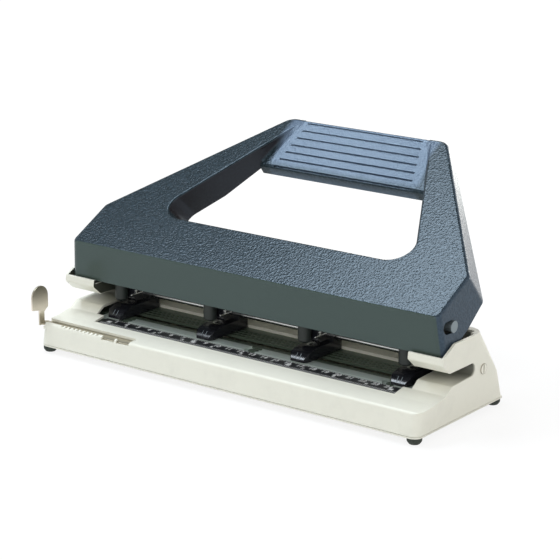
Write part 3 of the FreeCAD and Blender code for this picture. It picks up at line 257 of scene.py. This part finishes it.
def enamel(name, colour, shade_colour=None):
    """Sprayed cream enamel with a faint orange peel and a little grime, and, when a shade colour
    is given, painted shade deep in the paper slot and on walls that face inwards.
    """
    f = Finish(name)
    drift = f.clouds(9.0, 4.0)
    grime = f.clouds(60.0, 5.0, 0.65).above(0.60, 0.22) * 0.35
    paint = f.blend(drift, tint(colour, 0.965), tint(colour, 1.03))
    paint = f.blend(grime, paint, tint(colour, 0.86))
    if shade_colour:
        # painted shade laid over the enamel's own colour
        paint = f.blend(painted_slot_and_wall_shade(f), paint, shade_colour)
    peel = f.clouds(420.0, 2.0)
    return f.main(Base_Color=paint, Roughness=f.clouds(25.0) * 0.12 + 0.38,
                  Normal=f.bump(peel, 0.10, 0.0004), Coat_Weight=0.06, Coat_Roughness=0.3)


def grained(name, colour, light, face, sheen_colour):
    """Dark stoved paint: leather grain on top, smooth in front, with painted light: glints on the
    grain's crests in part, a lighter front face, a sheen on the palm rest and outer flanks, and
    shade on walls that face inwards.
    """
    f = Finish(name)
    at = f.place()
    x, y, z = f.axes()
    behind = 1.0 - (y * FACING[0] + z * FACING[1]).above(FRONT_FACE - 0.9 * MM, 0.5 * MM)
    palm = (1.0 - abs(x).above(62.5 * MM, 4.0 * MM)) * y.above(90.0 * MM, 4.0 * MM)
    palm = palm * (1.0 - y.above(118.1 * MM, 1.0 * MM))
    across = f.across()
    # painted shade: the grip's walls that face inwards are made near-black
    inner_wall_shade = (across * -1.0).above(0.74, 0.12) * (1.0 - palm)
    flank = across.above(0.35, 0.20)
    wander = f.node("ShaderNodeTexNoise", Vector=at, Scale=420.0, Detail=2.0, output="Color")
    bent = f.node("ShaderNodeMix", {"data_type": "VECTOR"}, output=1,
                  s0=0.0011, s4=at, s5=wander)
    crest = f.cells(640.0, bent, 0.7)
    fine = f.clouds(1500.0, 2.0, 0.6, at)
    height = crest * 0.75 + fine * 0.25
    base = f.blend(f.clouds(14.0, 3.0), tint(colour, 0.88), tint(colour, 1.10))
    # lighter crests of the grain: partly the grain's own tone, partly painted glints
    paint = f.blend(height.above(0.52, 0.36), base, light)
    # painted sheen: the palm rest and the outer flanks are made lighter and bluer
    paint = f.blend((palm * 0.8 + flank * 0.22).clamp(), paint, sheen_colour)
    # the smooth front face gets a lighter, greener colour than the rest of the paint: painted
    # light on that face
    paint = f.blend(behind, face, paint)
    # near-black colour of the painted shade on those walls
    paint = f.blend(inner_wall_shade * 0.9, paint, (0.020, 0.016, 0.017))
    f.shader.inputs["Specular Tint"].default_value = (0.60, 0.80, 1.0, 1.0)
    f.shader.inputs["Specular IOR Level"].default_value = 0.34
    return f.main(Base_Color=paint, Roughness=f.clouds(900.0, 2.0) * 0.10 + 0.17,
                  Normal=f.bump(height * behind * (1.0 - inner_wall_shade), 0.42, 0.0005))


def black_enamel(name, colour):
    """Glossy black enamel on cast steel."""
    f = Finish(name)
    soft = f.clouds(130.0, 3.0)
    paint = f.blend(soft, tint(colour, 0.8), tint(colour, 1.35))
    return f.main(Base_Color=paint, Roughness=f.clouds(50.0) * 0.10 + 0.13,
                  Normal=f.bump(f.clouds(700.0, 2.0), 0.05, 0.0003))


def sheet_steel(name, colour, rough, grain, metallic=1.0):
    """Drawn or rolled steel with fine lines along its length."""
    f = Finish(name)
    lines = f.clouds(90.0, 3.0, 0.6, f.place((1.0, 60.0, 60.0)))
    stain = f.clouds(22.0, 4.0).above(0.55, 0.3)
    tone = f.blend(stain * 0.5, tint(colour, 1.06), tint(colour, 0.80))
    return f.main(Base_Color=tone, Metallic=metallic,
                  Roughness=lines * grain + (rough - grain / 2),
                  Normal=f.bump(lines, 0.08, 0.0002))


def banded_green(name, colour, light):
    """Dark grey-green sheet of the rail with slightly rubbed ridges."""
    f = Finish(name)
    wear = f.clouds(60.0, 3.0, 0.6, f.place((0.15, 1.0, 1.0))).above(0.50, 0.5) * 0.5
    tone = f.blend(wear, colour, light)
    return f.main(Base_Color=tone, Metallic=0.15, Roughness=f.clouds(40.0) * 0.16 + 0.26)


def rubber(name, colour):
    """Dull black rubber with dust in its grain."""
    f = Finish(name)
    dust = f.clouds(300.0, 4.0).above(0.55, 0.2) * 0.3
    return f.main(Base_Color=f.blend(dust, colour, tint(colour, 3.0)), Roughness=0.78,
                  Normal=f.bump(f.clouds(1500.0), 0.2, 0.0003))


def moulded(name, colour):
    """Matt moulded plastic with a fine spark-eroded skin."""
    f = Finish(name)
    tone = f.blend(f.clouds(30.0, 4.0), tint(colour, 0.95), tint(colour, 1.03))
    return f.main(Base_Color=tone, Roughness=f.clouds(80.0) * 0.12 + 0.46,
                  Normal=f.bump(f.clouds(1800.0, 2.0), 0.18, 0.0002))


def printed(name, colour, rough=0.5):
    """Screen-printed ink."""
    f = Finish(name)
    tone = f.blend(f.clouds(240.0, 3.0), tint(colour, 0.88), tint(colour, 1.06))
    return f.main(Base_Color=tone, Roughness=f.clouds(90.0) * 0.1 + rough)


# ---------------------------------------------------------------- mesh helpers

def deselect():
    bpy.ops.object.select_all(action="DESELECT")


def only(obj):
    """Selects one object and makes it the active one."""
    deselect()
    obj.select_set(True)
    bpy.context.view_layer.objects.active = obj


def edit(obj):
    only(obj)
    bpy.ops.object.mode_set(mode="EDIT")


def object_mode():
    bpy.ops.object.mode_set(mode="OBJECT")


def apply_all(obj):
    """Applies the modifiers in order and leaves the object selected."""
    only(obj)
    for modifier in list(obj.modifiers):
        bpy.ops.object.modifier_apply(modifier=modifier.name)


def set_material(obj, material):
    obj.data.materials.clear()
    obj.data.materials.append(material)


def twin(obj, name):
    """A second object with its own mesh."""
    copy = obj.copy()
    copy.data = obj.data.copy()
    copy.name = copy.data.name = name
    bpy.context.scene.collection.objects.link(copy)
    return copy


def stand_in(obj, node):
    """Shows the piece in the place of the CAD node and moves it with the node's body."""
    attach(obj, BODY_OF[node])
    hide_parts(node)


def skin_of(node, material, edge=0.0, angle=32.0, shape=None):
    """A welded copy of a CAD piece, with its edges softened, that stands for the piece."""
    copy = twin(NODES[node], node + "_dressed")
    for key in list(copy.keys()):
        del copy[key]
    copy.parent = None
    edit(copy)
    bpy.ops.mesh.select_all(action="SELECT")
    bpy.ops.mesh.remove_doubles(threshold=MERGE)
    bpy.ops.mesh.dissolve_limited(angle_limit=FLAT)
    object_mode()
    if shape:
        shape(copy)
    elif edge:
        bevel = copy.modifiers.new("edges", "BEVEL")
        bevel.width, bevel.segments = edge, 2
        bevel.limit_method, bevel.angle_limit = "ANGLE", math.radians(angle)
        bevel.use_clamp_overlap = True
        apply_all(copy)
    only(copy)
    bpy.ops.object.shade_smooth_by_angle(angle=math.radians(angle))
    weigh = copy.modifiers.new("normals", "WEIGHTED_NORMAL")
    weigh.keep_sharp = True
    apply_all(copy)
    set_material(copy, material)
    stand_in(copy, node)


def roll_edges(obj, width, weight_of):
    """Rolls the edges that the test weighs, each by its own share of the width."""
    mesh = bmesh.new()
    mesh.from_mesh(obj.data)
    layer = mesh.edges.layers.float.get("bevel_weight_edge")
    layer = layer or mesh.edges.layers.float.new("bevel_weight_edge")
    for edge in mesh.edges:
        if len(edge.link_faces) == 2:
            edge[layer] = weight_of(edge)
    mesh.to_mesh(obj.data)
    mesh.free()
    bevel = obj.modifiers.new("rolled", "BEVEL")
    bevel.width, bevel.segments, bevel.limit_method = width, 3, "WEIGHT"
    bevel.use_clamp_overlap = False
    bevel.miter_outer = "MITER_ARC"
    apply_all(obj)


def paint_node(node, material):
    """Gives a CAD piece that stays as it is a better finish."""
    obj = NODES[node]
    for slot in obj.material_slots:
        slot.material = material
    if not obj.material_slots:
        obj.data.materials.append(material)


def join(pieces, name):
    """Makes the pieces one mesh, with its place in the mesh."""
    only(pieces[0])
    for piece in pieces[1:]:
        piece.select_set(True)
    bpy.ops.object.join()
    whole = bpy.context.view_layer.objects.active
    whole.name = whole.data.name = name
    bpy.ops.object.transform_apply(location=True, rotation=True, scale=True)
    return whole


def strip(low, high):
    """A thin flat plate between two corners."""
    bpy.ops.mesh.primitive_cube_add(size=1.0, location=[(a + b) / 2 for a, b in zip(low, high)])
    obj = bpy.context.object
    obj.scale = [b - a for a, b in zip(low, high)]
    return obj


def numeral(text, x, y, z, height):
    """A thin raised print of a plain number, read from the front."""
    bpy.ops.object.text_add(location=(x, y, z))
    obj = bpy.context.object
    obj.data.body = text
    obj.data.size = height
    obj.data.align_x, obj.data.align_y = "CENTER", "CENTER"
    obj.data.extrude, obj.data.offset = 0.02 * MM, 0.14 * MM
    only(obj)
    bpy.ops.object.convert(target="MESH")
    return bpy.context.object


# ---------------------------------------------------------------- what a user may change

class PunchColours(bpy.types.PropertyGroup):
    cream: bpy.props.FloatVectorProperty(name="Cream", description="Enamel of the base",
                                         subtype="COLOR", size=3, default=(0.84, 0.83, 0.73))
    lever: bpy.props.FloatVectorProperty(name="Lever", description="Ground colour of the lever",
                                         subtype="COLOR", size=3, default=(0.014, 0.022, 0.026))
    # the crests' lighter colour is partly the grain's own tone and partly painted glints
    crest: bpy.props.FloatVectorProperty(name="Crest", description="Colour of the grain's crests",
                                         subtype="COLOR", size=3, default=(0.028, 0.044, 0.056))
    # this colour is lighter than the lever's ground to paint the light on the front face
    face: bpy.props.FloatVectorProperty(name="Front", description="Smooth front of the lever",
                                        subtype="COLOR", size=3, default=(0.062, 0.084, 0.072))
    # this light blue is a painted sheen on the palm rest and the lever's outer flanks
    palm: bpy.props.FloatVectorProperty(name="Palm", description="Worn paint of the palm rest",
                                        subtype="COLOR", size=3, default=(0.13, 0.18, 0.26))
    rail: bpy.props.FloatVectorProperty(name="Rail", description="Green-grey of the rail bed",
                                        subtype="COLOR", size=3, default=(0.075, 0.10, 0.075))
    heads: bpy.props.FloatVectorProperty(name="Heads", description="Enamel of the heads",
                                         subtype="COLOR", size=3, default=(0.014, 0.015, 0.019))
    print_white: bpy.props.FloatVectorProperty(name="Print", description="White of the scale",
                                               subtype="COLOR", size=3,
                                               default=(0.85, 0.86, 0.85))


class PunchSizes(bpy.types.PropertyGroup):
    edge: bpy.props.FloatProperty(name="Edge", description="Softening of pressed edges",
                                  unit="LENGTH", default=0.35 * MM)
    roll: bpy.props.FloatProperty(name="Roll", description="Rounding of the lever's outer edges",
                                  unit="LENGTH", default=1.3 * MM)
    numeral: bpy.props.FloatProperty(name="Numeral", description="Height of the scale's numbers",
                                     unit="LENGTH", default=5.6 * MM)
    tick: bpy.props.FloatProperty(name="Tick", description="Pitch of the scale's marks",
                                  unit="LENGTH", default=1.5875 * MM)
    wire: bpy.props.FloatProperty(name="Wire", description="Radius of the spring wire",
                                  unit="LENGTH", default=0.17 * MM)
    turns: bpy.props.IntProperty(name="Turns", description="Turns of each spring", default=9)


# ---------------------------------------------------------------- operators

class PUNCH_OT_base(bpy.types.Operator):
    """Enamelled cover, end plates and side screws"""
    bl_idname, bl_label = "punch.base", "Base"

    def execute(self, context):
        colours, sizes = context.scene.punch_colours, context.scene.punch_sizes
        # the third colour is painted shade for the paper slot and the walls that face inwards
        skin_of("base_cover", enamel("cover_enamel", colours.cream, (0.06, 0.065, 0.05)),
                sizes.edge)
        dark = banded_green("bracket_steel", (0.06, 0.065, 0.06), (0.14, 0.14, 0.13))
        for side in SIDES:
            skin_of("end_plate_" + side, dark)
            skin_of("side_screw_" + side, self.screw(side, colours.cream), 0.2 * MM)
        return {"FINISHED"}

    def screw(self, side, cream):
        """Enamel with painted shade round the rim of the head and in its slot."""
        f = Finish("screw_enamel_" + side)
        low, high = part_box("side_screw_" + side)
        x, y, z = f.axes()
        y, z = y - (low.y + high.y) / 2, z - (low.z + high.z) / 2
        reach = y * y + z * z
        # painted shade in the gap round the head
        painted_rim_shade = reach.above((3.25 * MM) ** 2, 1.2 * MM * MM)
        # painted shade in the screw's slot
        slot = 1.0 - abs(y).above(0.5 * MM, 0.2 * MM)
        slot = slot * (1.0 - reach.above((2.9 * MM) ** 2, MM * MM))
        paint = f.blend(f.clouds(60.0), cream, tint(cream, 1.08))
        paint = f.blend((painted_rim_shade * 0.7 + slot * 0.85).clamp(), paint, (0.20, 0.15, 0.10))
        return f.main(Base_Color=paint, Roughness=f.clouds(80.0) * 0.1 + 0.35)


class PUNCH_OT_rail(bpy.types.Operator):
    """Rail bed, slide bar, scale, axle and guide rod"""
    bl_idname, bl_label = "punch.rail", "Rail"

    CENTIMETRE, INCH = 10 * MM, 25.4 * MM
    FIRST_INCH = -4.13  # inches from the middle of the scale to its first numeral
    BLOCKS = (-119.5, -43.5, 37.0, 118.5)  # filled marks, in mm from the middle

    def execute(self, context):
        colours = context.scene.punch_colours
        green = banded_green("rail_sheet", colours.rail, tint(colours.rail, 2.2))
        polished = sheet_steel("bar_steel", (0.56, 0.64, 0.60), 0.36, 0.2, 0.3)
        bright = sheet_steel("bright_steel", (0.66, 0.67, 0.66), 0.28, 0.2)
        axle = sheet_steel("axle_steel", (0.20, 0.24, 0.26), 0.34, 0.2, 0.7)
        skin_of("rail_bed", green, 0.2 * MM)
        skin_of("slide_bar", polished, 0.2 * MM)
        for side in ("left", "middle", "right"):
            paint_node("rail_screw_" + side, green)
        skin_of("lever_axle", axle, 0.5 * MM)
        skin_of("guide_rod", bright)
        paint_node("scale_strip", printed("scale_black", (0.010, 0.011, 0.014), 0.36))
        self.marks(context)
        return {"FINISHED"}

    def marks(self, context):
        """Numerals and ticks in centimetres at the back and in inches in front."""
        sizes = context.scene.punch_sizes
        low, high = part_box("scale_strip")
        top = high.z + INK
        pieces = []

        def bar(x, half, near, far):
            pieces.append(strip((x - half, near, high.z), (x + half, far, top)))

        for k in range(24):
            x = (k - 11.5) * self.CENTIMETRE
            pieces.append(numeral(str(k + 1), x, low.y + 10.2 * MM, top, sizes.numeral))
        for k in range(9):
            x = (k + self.FIRST_INCH) * self.INCH + 1.5 * MM
            pieces.append(numeral(str(k + 1), x, low.y + 6.7 * MM, top, sizes.numeral * 0.75))
        count = int((high.x - low.x) / sizes.tick / 2) - 1
        for k in range(-count, count + 1):
            long = 5.6 if k % 16 == 0 else 5.2 if k % 4 == 0 else 4.8
            bar(k * sizes.tick, 0.22 * MM, low.y + 2.6 * MM, low.y + long * MM)
        for k in range(-59, 60):
            long = 1.1 if k % 5 == 0 else 0.7
            bar(k * 2 * MM, 0.25 * MM, high.y - long * MM, high.y - 0.1 * MM)
        for x in self.BLOCKS:
            bar(x * MM, 1.7 * MM, low.y + 5.9 * MM, low.y + 9.0 * MM)
        marks = join(pieces, "scale_marks")
        set_material(marks, printed("scale_white", context.scene.punch_colours.print_white))
        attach(marks, "base")


class PUNCH_OT_heads(bpy.types.Operator):
    """Four punch heads with their knobs, dies, clips, springs and pins"""
    bl_idname, bl_label = "punch.heads", "Heads"

    def execute(self, context):
        colours = context.scene.punch_colours
        black = black_enamel("head_enamel", colours.heads)
        knob = moulded("knob_plastic", (0.014, 0.020, 0.018))
        bright = sheet_steel("head_steel", (0.70, 0.71, 0.70), 0.25, 0.15)
        spring = sheet_steel("spring_wire", (0.42, 0.42, 0.43), 0.35, 0.1)
        grey = printed("index_grey", (0.20, 0.24, 0.26), 0.4)
        for k in HEADS:
            name = "head_%d_" % k
            skin_of(name + "frame", black, 0.35 * MM)
            skin_of(name + "knob", knob, 0.3 * MM)
            skin_of(name + "die", bright)
            skin_of(name + "clip", bright, 0.15 * MM)
            skin_of(name + "pin", bright, 0.15 * MM)
            self.index(name, grey)
        first = self.coil("head_1_spring", spring, context)
        coils = [first] + [twin(first, "head_%d_spring_coil" % k) for k in HEADS[1:]]
        for k, coil in zip(HEADS, coils):
            self.seat(coil, "head_%d_spring" % k, "pin_%d_stroke" % k)
        return {"FINISHED"}

    def coil(self, node, material, context):
        """A wound wire as long and as wide as the plain tube, round the middle."""
        sizes = context.scene.punch_sizes
        low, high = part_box(node)
        radius = (high.x - low.x) / 2 - sizes.wire
        deselect()
        bpy.ops.mesh.primitive_circle_add(vertices=8, radius=sizes.wire,
                                          location=(radius, 0.0, low.z + sizes.wire),
                                          rotation=(math.pi / 2, 0.0, 0.0))
        obj = bpy.context.object
        obj.name = obj.data.name = node + "_coil"
        bpy.ops.object.transform_apply(location=True, rotation=True)
        winding = obj.modifiers.new("winding", "SCREW")
        winding.iterations, winding.steps, winding.render_steps = sizes.turns, 14, 14
        winding.screw_offset = (high.z - low.z - 2 * sizes.wire) / sizes.turns
        apply_all(obj)
        edit(obj)
        bpy.ops.mesh.select_all(action="SELECT")
        bpy.ops.mesh.fill_holes(sides=0)
        bpy.ops.mesh.select_all(action="SELECT")
        bpy.ops.mesh.normals_make_consistent(inside=False)
        object_mode()
        set_material(obj, material)
        bpy.ops.object.shade_smooth()
        return obj

    def seat(self, obj, node, stroke):
        """Moves a coil to its own tube's place and hangs it on the tube's body."""
        low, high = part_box(node)
        middle, long = (low + high) / 2, high.z - low.z
        edit(obj)
        bpy.ops.mesh.select_all(action="SELECT")
        bpy.ops.transform.translate(value=(middle.x, middle.y, 0.0))
        object_mode()
        stand_in(obj, node)
        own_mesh(obj)

    def index(self, name, material):
        """Two grey lines on the sloping face of the toe."""
        low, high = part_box(name + "frame")
        rise = 3.8 * MM  # of the face, which slopes at 45 degrees
        place = Vector(((low.x + high.x) / 2, low.y + rise / 2, low.z + 2.0 * MM + rise / 2))
        half = Vector((0.2 * MM, 2.0 * MM, INK))
        pieces = []
        for side in (-1.5 * MM, 1.5 * MM):
            bar = strip(-half, half)
            bar.rotation_euler = Euler((math.radians(45.0), 0.0, 0.0))
            bar.location = place + Vector((side, 0.0, 0.0))
            pieces.append(bar)
        lines = join(pieces, name + "index")
        set_material(lines, material)
        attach(lines, BODY_OF[name + "frame"])


class PUNCH_OT_lever(bpy.types.Operator):
    """Hand lever with its hinge plates and the press bar"""
    bl_idname, bl_label = "punch.lever", "Lever"

    SMOOTH = 40.0  # degrees up to which two faces shade as one
    RIDGE = 106.5 * MM, 1.4 * MM, 1.4 * MM  # width, rise and wall of the ridge
    ROWS = 8  # of faces over the ridge

    def execute(self, context):
        colours = context.scene.punch_colours
        paint = grained("lever_paint", colours.lever, colours.crest[:],
                        colours.face[:], colours.palm[:])
        roll = context.scene.punch_sizes.roll
        skin_of("lever_shell", paint, angle=self.SMOOTH,
                shape=lambda shell: roll_edges(shell, roll, self.outside))
        self.ridge(paint)
        dark = banded_green("hinge_steel", (0.05, 0.055, 0.055), (0.12, 0.12, 0.12))
        for side in SIDES:
            skin_of("hinge_plate_" + side, dark)
        skin_of("press_bar", dark)
        return {"FINISHED"}

    def ridge(self, paint):
        """The rounded ridge that joins the palm rest's upper edge to the tail of the lever."""
        width, rise, wall = self.RIDGE
        first, last = Vector((0.0, 118.25, 150.0)) * MM, Vector((0.0, 122.95, 145.6)) * MM
        run = last - first
        out = Vector((0.0, -run.z, run.y)).normalized()
        deselect()
        bpy.ops.mesh.primitive_plane_add(size=1.0, location=(first + last) / 2,
                                         rotation=(math.atan2(run.z, run.y), 0.0, 0.0))
        obj = bpy.context.object
        obj.name = obj.data.name = "palm_ridge"
        obj.scale = (width, run.length, 1.0)
        bpy.ops.object.transform_apply(location=True, rotation=True, scale=True)
        edit(obj)
        bpy.ops.mesh.select_all(action="SELECT")
        bpy.ops.mesh.subdivide(number_cuts=self.ROWS - 1)
        object_mode()
        for k in range(1, self.ROWS):
            share = k / self.ROWS
            place = first + run * share
            for vertex in obj.data.vertices:
                vertex.select = abs((vertex.co - place).dot(run.normalized())) < 0.1 * MM
            for part in (*obj.data.edges, *obj.data.polygons):
                part.select = False
            edit(obj)
            bpy.ops.mesh.select_mode(type="VERT")
            bpy.ops.transform.translate(value=out * (4 * share * (1 - share) * rise))
            object_mode()
        sheet = obj.modifiers.new("sheet", "SOLIDIFY")
        sheet.thickness, sheet.offset = wall, -1.0
        apply_all(obj)
        bpy.ops.object.shade_smooth_by_angle(angle=math.radians(self.SMOOTH))
        set_material(obj, paint)
        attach(obj, BODY_OF["lever_shell"])

    def outside(self, edge):
        """1 on the shell's long outer edges, less on the palm rest, 0 inside."""
        up = Vector((0.0, -0.475, 0.88))
        if not edge.is_convex or edge.calc_face_angle(0.0) < math.radians(25.0):
            return 0.0
        if any(face.normal.dot(up) < -0.5 for face in edge.link_faces):
            return 0.0
        if edge.calc_length() < 8 * MM:
            return 0.0
        middle = (edge.verts[0].co + edge.verts[1].co) / 2
        palm = abs(middle.x) < 62 * MM and middle.y > 85 * MM
        return 0.2 if palm else 1.0


class PUNCH_OT_guide(bpy.types.Operator):
    """Paper stop with its rounded tab"""
    bl_idname, bl_label = "punch.guide", "Paper stop"

    def execute(self, context):
        skin_of("paper_guide", self.steel(), 0.2 * MM)
        return {"FINISHED"}

    def steel(self):
        """Drawn steel, straw-coloured on the tab, with a painted reflection that darkens it
        towards its top end and below the tab.
        """
        f = Finish("stop_steel")
        low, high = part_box("paper_guide")
        z = f.axes()[2]
        # painted reflection: darker towards the top end
        painted_tip_reflection = z.above(high.z - 8 * MM, 14 * MM)
        # painted reflection: darker below the tab
        painted_neck_reflection = 1.0 - z.above(high.z - 19.5 * MM, 3 * MM)
        lines = f.clouds(90.0, 3.0, 0.6, f.place((30.0, 1.0, 30.0)))
        tone = f.blend(painted_tip_reflection, (0.86, 0.78, 0.68), (0.42, 0.39, 0.30))
        tone = f.blend(painted_neck_reflection * 0.7, tone, (0.40, 0.37, 0.27))
        return f.main(Base_Color=tone, Metallic=0.75, Roughness=lines * 0.2 + 0.22,
                      Normal=f.bump(lines, 0.08, 0.0002))


class PUNCH_OT_tray(bpy.types.Operator):
    """Chip tray and rubber feet"""
    bl_idname, bl_label = "punch.tray", "Tray"

    def execute(self, context):
        cream = context.scene.punch_colours.cream
        skin_of("chip_tray", moulded("tray_plastic", tint(cream, 0.96)), 0.3 * MM)
        black = rubber("foot_rubber", (0.026, 0.033, 0.026))
        for place in ("front_left", "front_right", "back_left", "back_right"):
            skin_of("foot_" + place, black, 0.4 * MM)
        return {"FINISHED"}


class PUNCH_OT_stage(bpy.types.Operator):
    """Floor, soft lights and camera"""
    bl_idname, bl_label = "punch.stage", "Stage"

    def execute(self, context):
        scene = context.scene
        scene.view_settings.view_transform = "Standard"
        self.floor()
        self.world(scene)
        for lamp in LAMPS:
            self.lamp(*lamp)
        data = bpy.data.cameras.new("camera")
        data.sensor_width, data.lens = SENSOR, LENS
        data.clip_start, data.clip_end = 0.05, 20.0
        camera = bpy.data.objects.new("camera", data)
        scene.collection.objects.link(camera)
        camera.location = CAMERA_PLACE
        camera.rotation_euler = [math.radians(angle) for angle in CAMERA_TURN]
        scene.camera = camera
        return {"FINISHED"}

    def floor(self):
        """White floor that keeps the soft shadow near the object."""
        bpy.ops.mesh.primitive_plane_add(size=12.0, location=(0.0, 0.0, 0.0))
        floor = bpy.context.object
        floor.name = "floor"
        f = Finish("floor_white")
        f.main(Base_Color=(0.82, 0.82, 0.82, 1.0), Roughness=0.9, Specular_IOR_Level=0.0)
        glow = f.node("ShaderNodeEmission", Color=(1.0, 1.0, 1.0, 1.0), Strength=1.05)
        x, y, _ = f.axes()
        away = (x * x + y * y).above(0.14, 0.24)
        camera, glossy, through = f.rays()
        mix = f.node("ShaderNodeMixShader",
                     s0=(camera + glossy + through).clamp() * (away * 0.2 + 0.8),
                     s1=Wire(f.tree, f.shader.outputs[0]), s2=glow)
        f.feed(f.output, {"Surface": mix})
        set_material(floor, f.material)

    def world(self, scene):
        """White to the eye, bright at the horizon and dim overhead in reflections."""
        scene.world = bpy.data.worlds.new("studio")
        sky = Nodes(scene.world)
        camera, glossy, through = sky.rays()
        where = sky.node("ShaderNodeTexCoord", output="Generated")
        height = sky.node("ShaderNodeSeparateXYZ", output="Z", Vector=where)
        low = 1.0 - height.above(0.42, 0.40) * 0.85
        seen = (camera + glossy * low + through).clamp()
        soft = (1.0 - (camera + glossy + through).clamp()) * 0.32
        glow = sky.node("ShaderNodeBackground", Color=(1.0, 1.0, 1.0, 1.0),
                        Strength=seen + soft)
        sky.add("ShaderNodeOutputWorld", Surface=glow)

    def lamp(self, name, place, target, wide, deep, power, colour):
        """A soft rectangular lamp that looks at its target."""
        data = bpy.data.lights.new(name, "AREA")
        data.shape, data.size, data.size_y, data.energy = "RECTANGLE", wide, deep, power
        data.color = colour
        lamp = bpy.data.objects.new(name, data)
        bpy.context.scene.collection.objects.link(lamp)
        lamp.location, lamp.visible_camera = place, False
        away = Vector(place) - Vector(target)
        lamp.rotation_euler = away.to_track_quat("Z", "Y").to_euler()


class PUNCH_PT_panel(bpy.types.Panel):
    """Lists the pieces of the punch"""
    bl_idname, bl_label = "PUNCH_PT_panel", "Paper Punch"
    bl_space_type, bl_region_type, bl_category = "VIEW_3D", "UI", "Punch"

    def draw(self, context):
        for operator in STEPS:
            self.layout.operator(operator.bl_idname)
        for group in (context.scene.punch_colours, context.scene.punch_sizes):
            for key in group.__annotations__:
                self.layout.prop(group, key)


STEPS = (PUNCH_OT_stage, PUNCH_OT_base, PUNCH_OT_rail, PUNCH_OT_heads, PUNCH_OT_lever,
         PUNCH_OT_guide, PUNCH_OT_tray)
CLASSES = (PunchColours, PunchSizes, *STEPS, PUNCH_PT_panel)


def register():
    for cls in CLASSES:
        bpy.utils.register_class(cls)
    bpy.types.Scene.punch_colours = bpy.props.PointerProperty(type=PunchColours)
    bpy.types.Scene.punch_sizes = bpy.props.PointerProperty(type=PunchSizes)


def unregister():
    del bpy.types.Scene.punch_sizes
    del bpy.types.Scene.punch_colours
    for cls in reversed(CLASSES):
        bpy.utils.unregister_class(cls)


def main():
    register()
    for name in ("stage", "base", "rail", "heads", "lever", "guide", "tray"):
        getattr(bpy.ops.punch, name)()
    deselect()


if __name__ == "__main__":
    main()
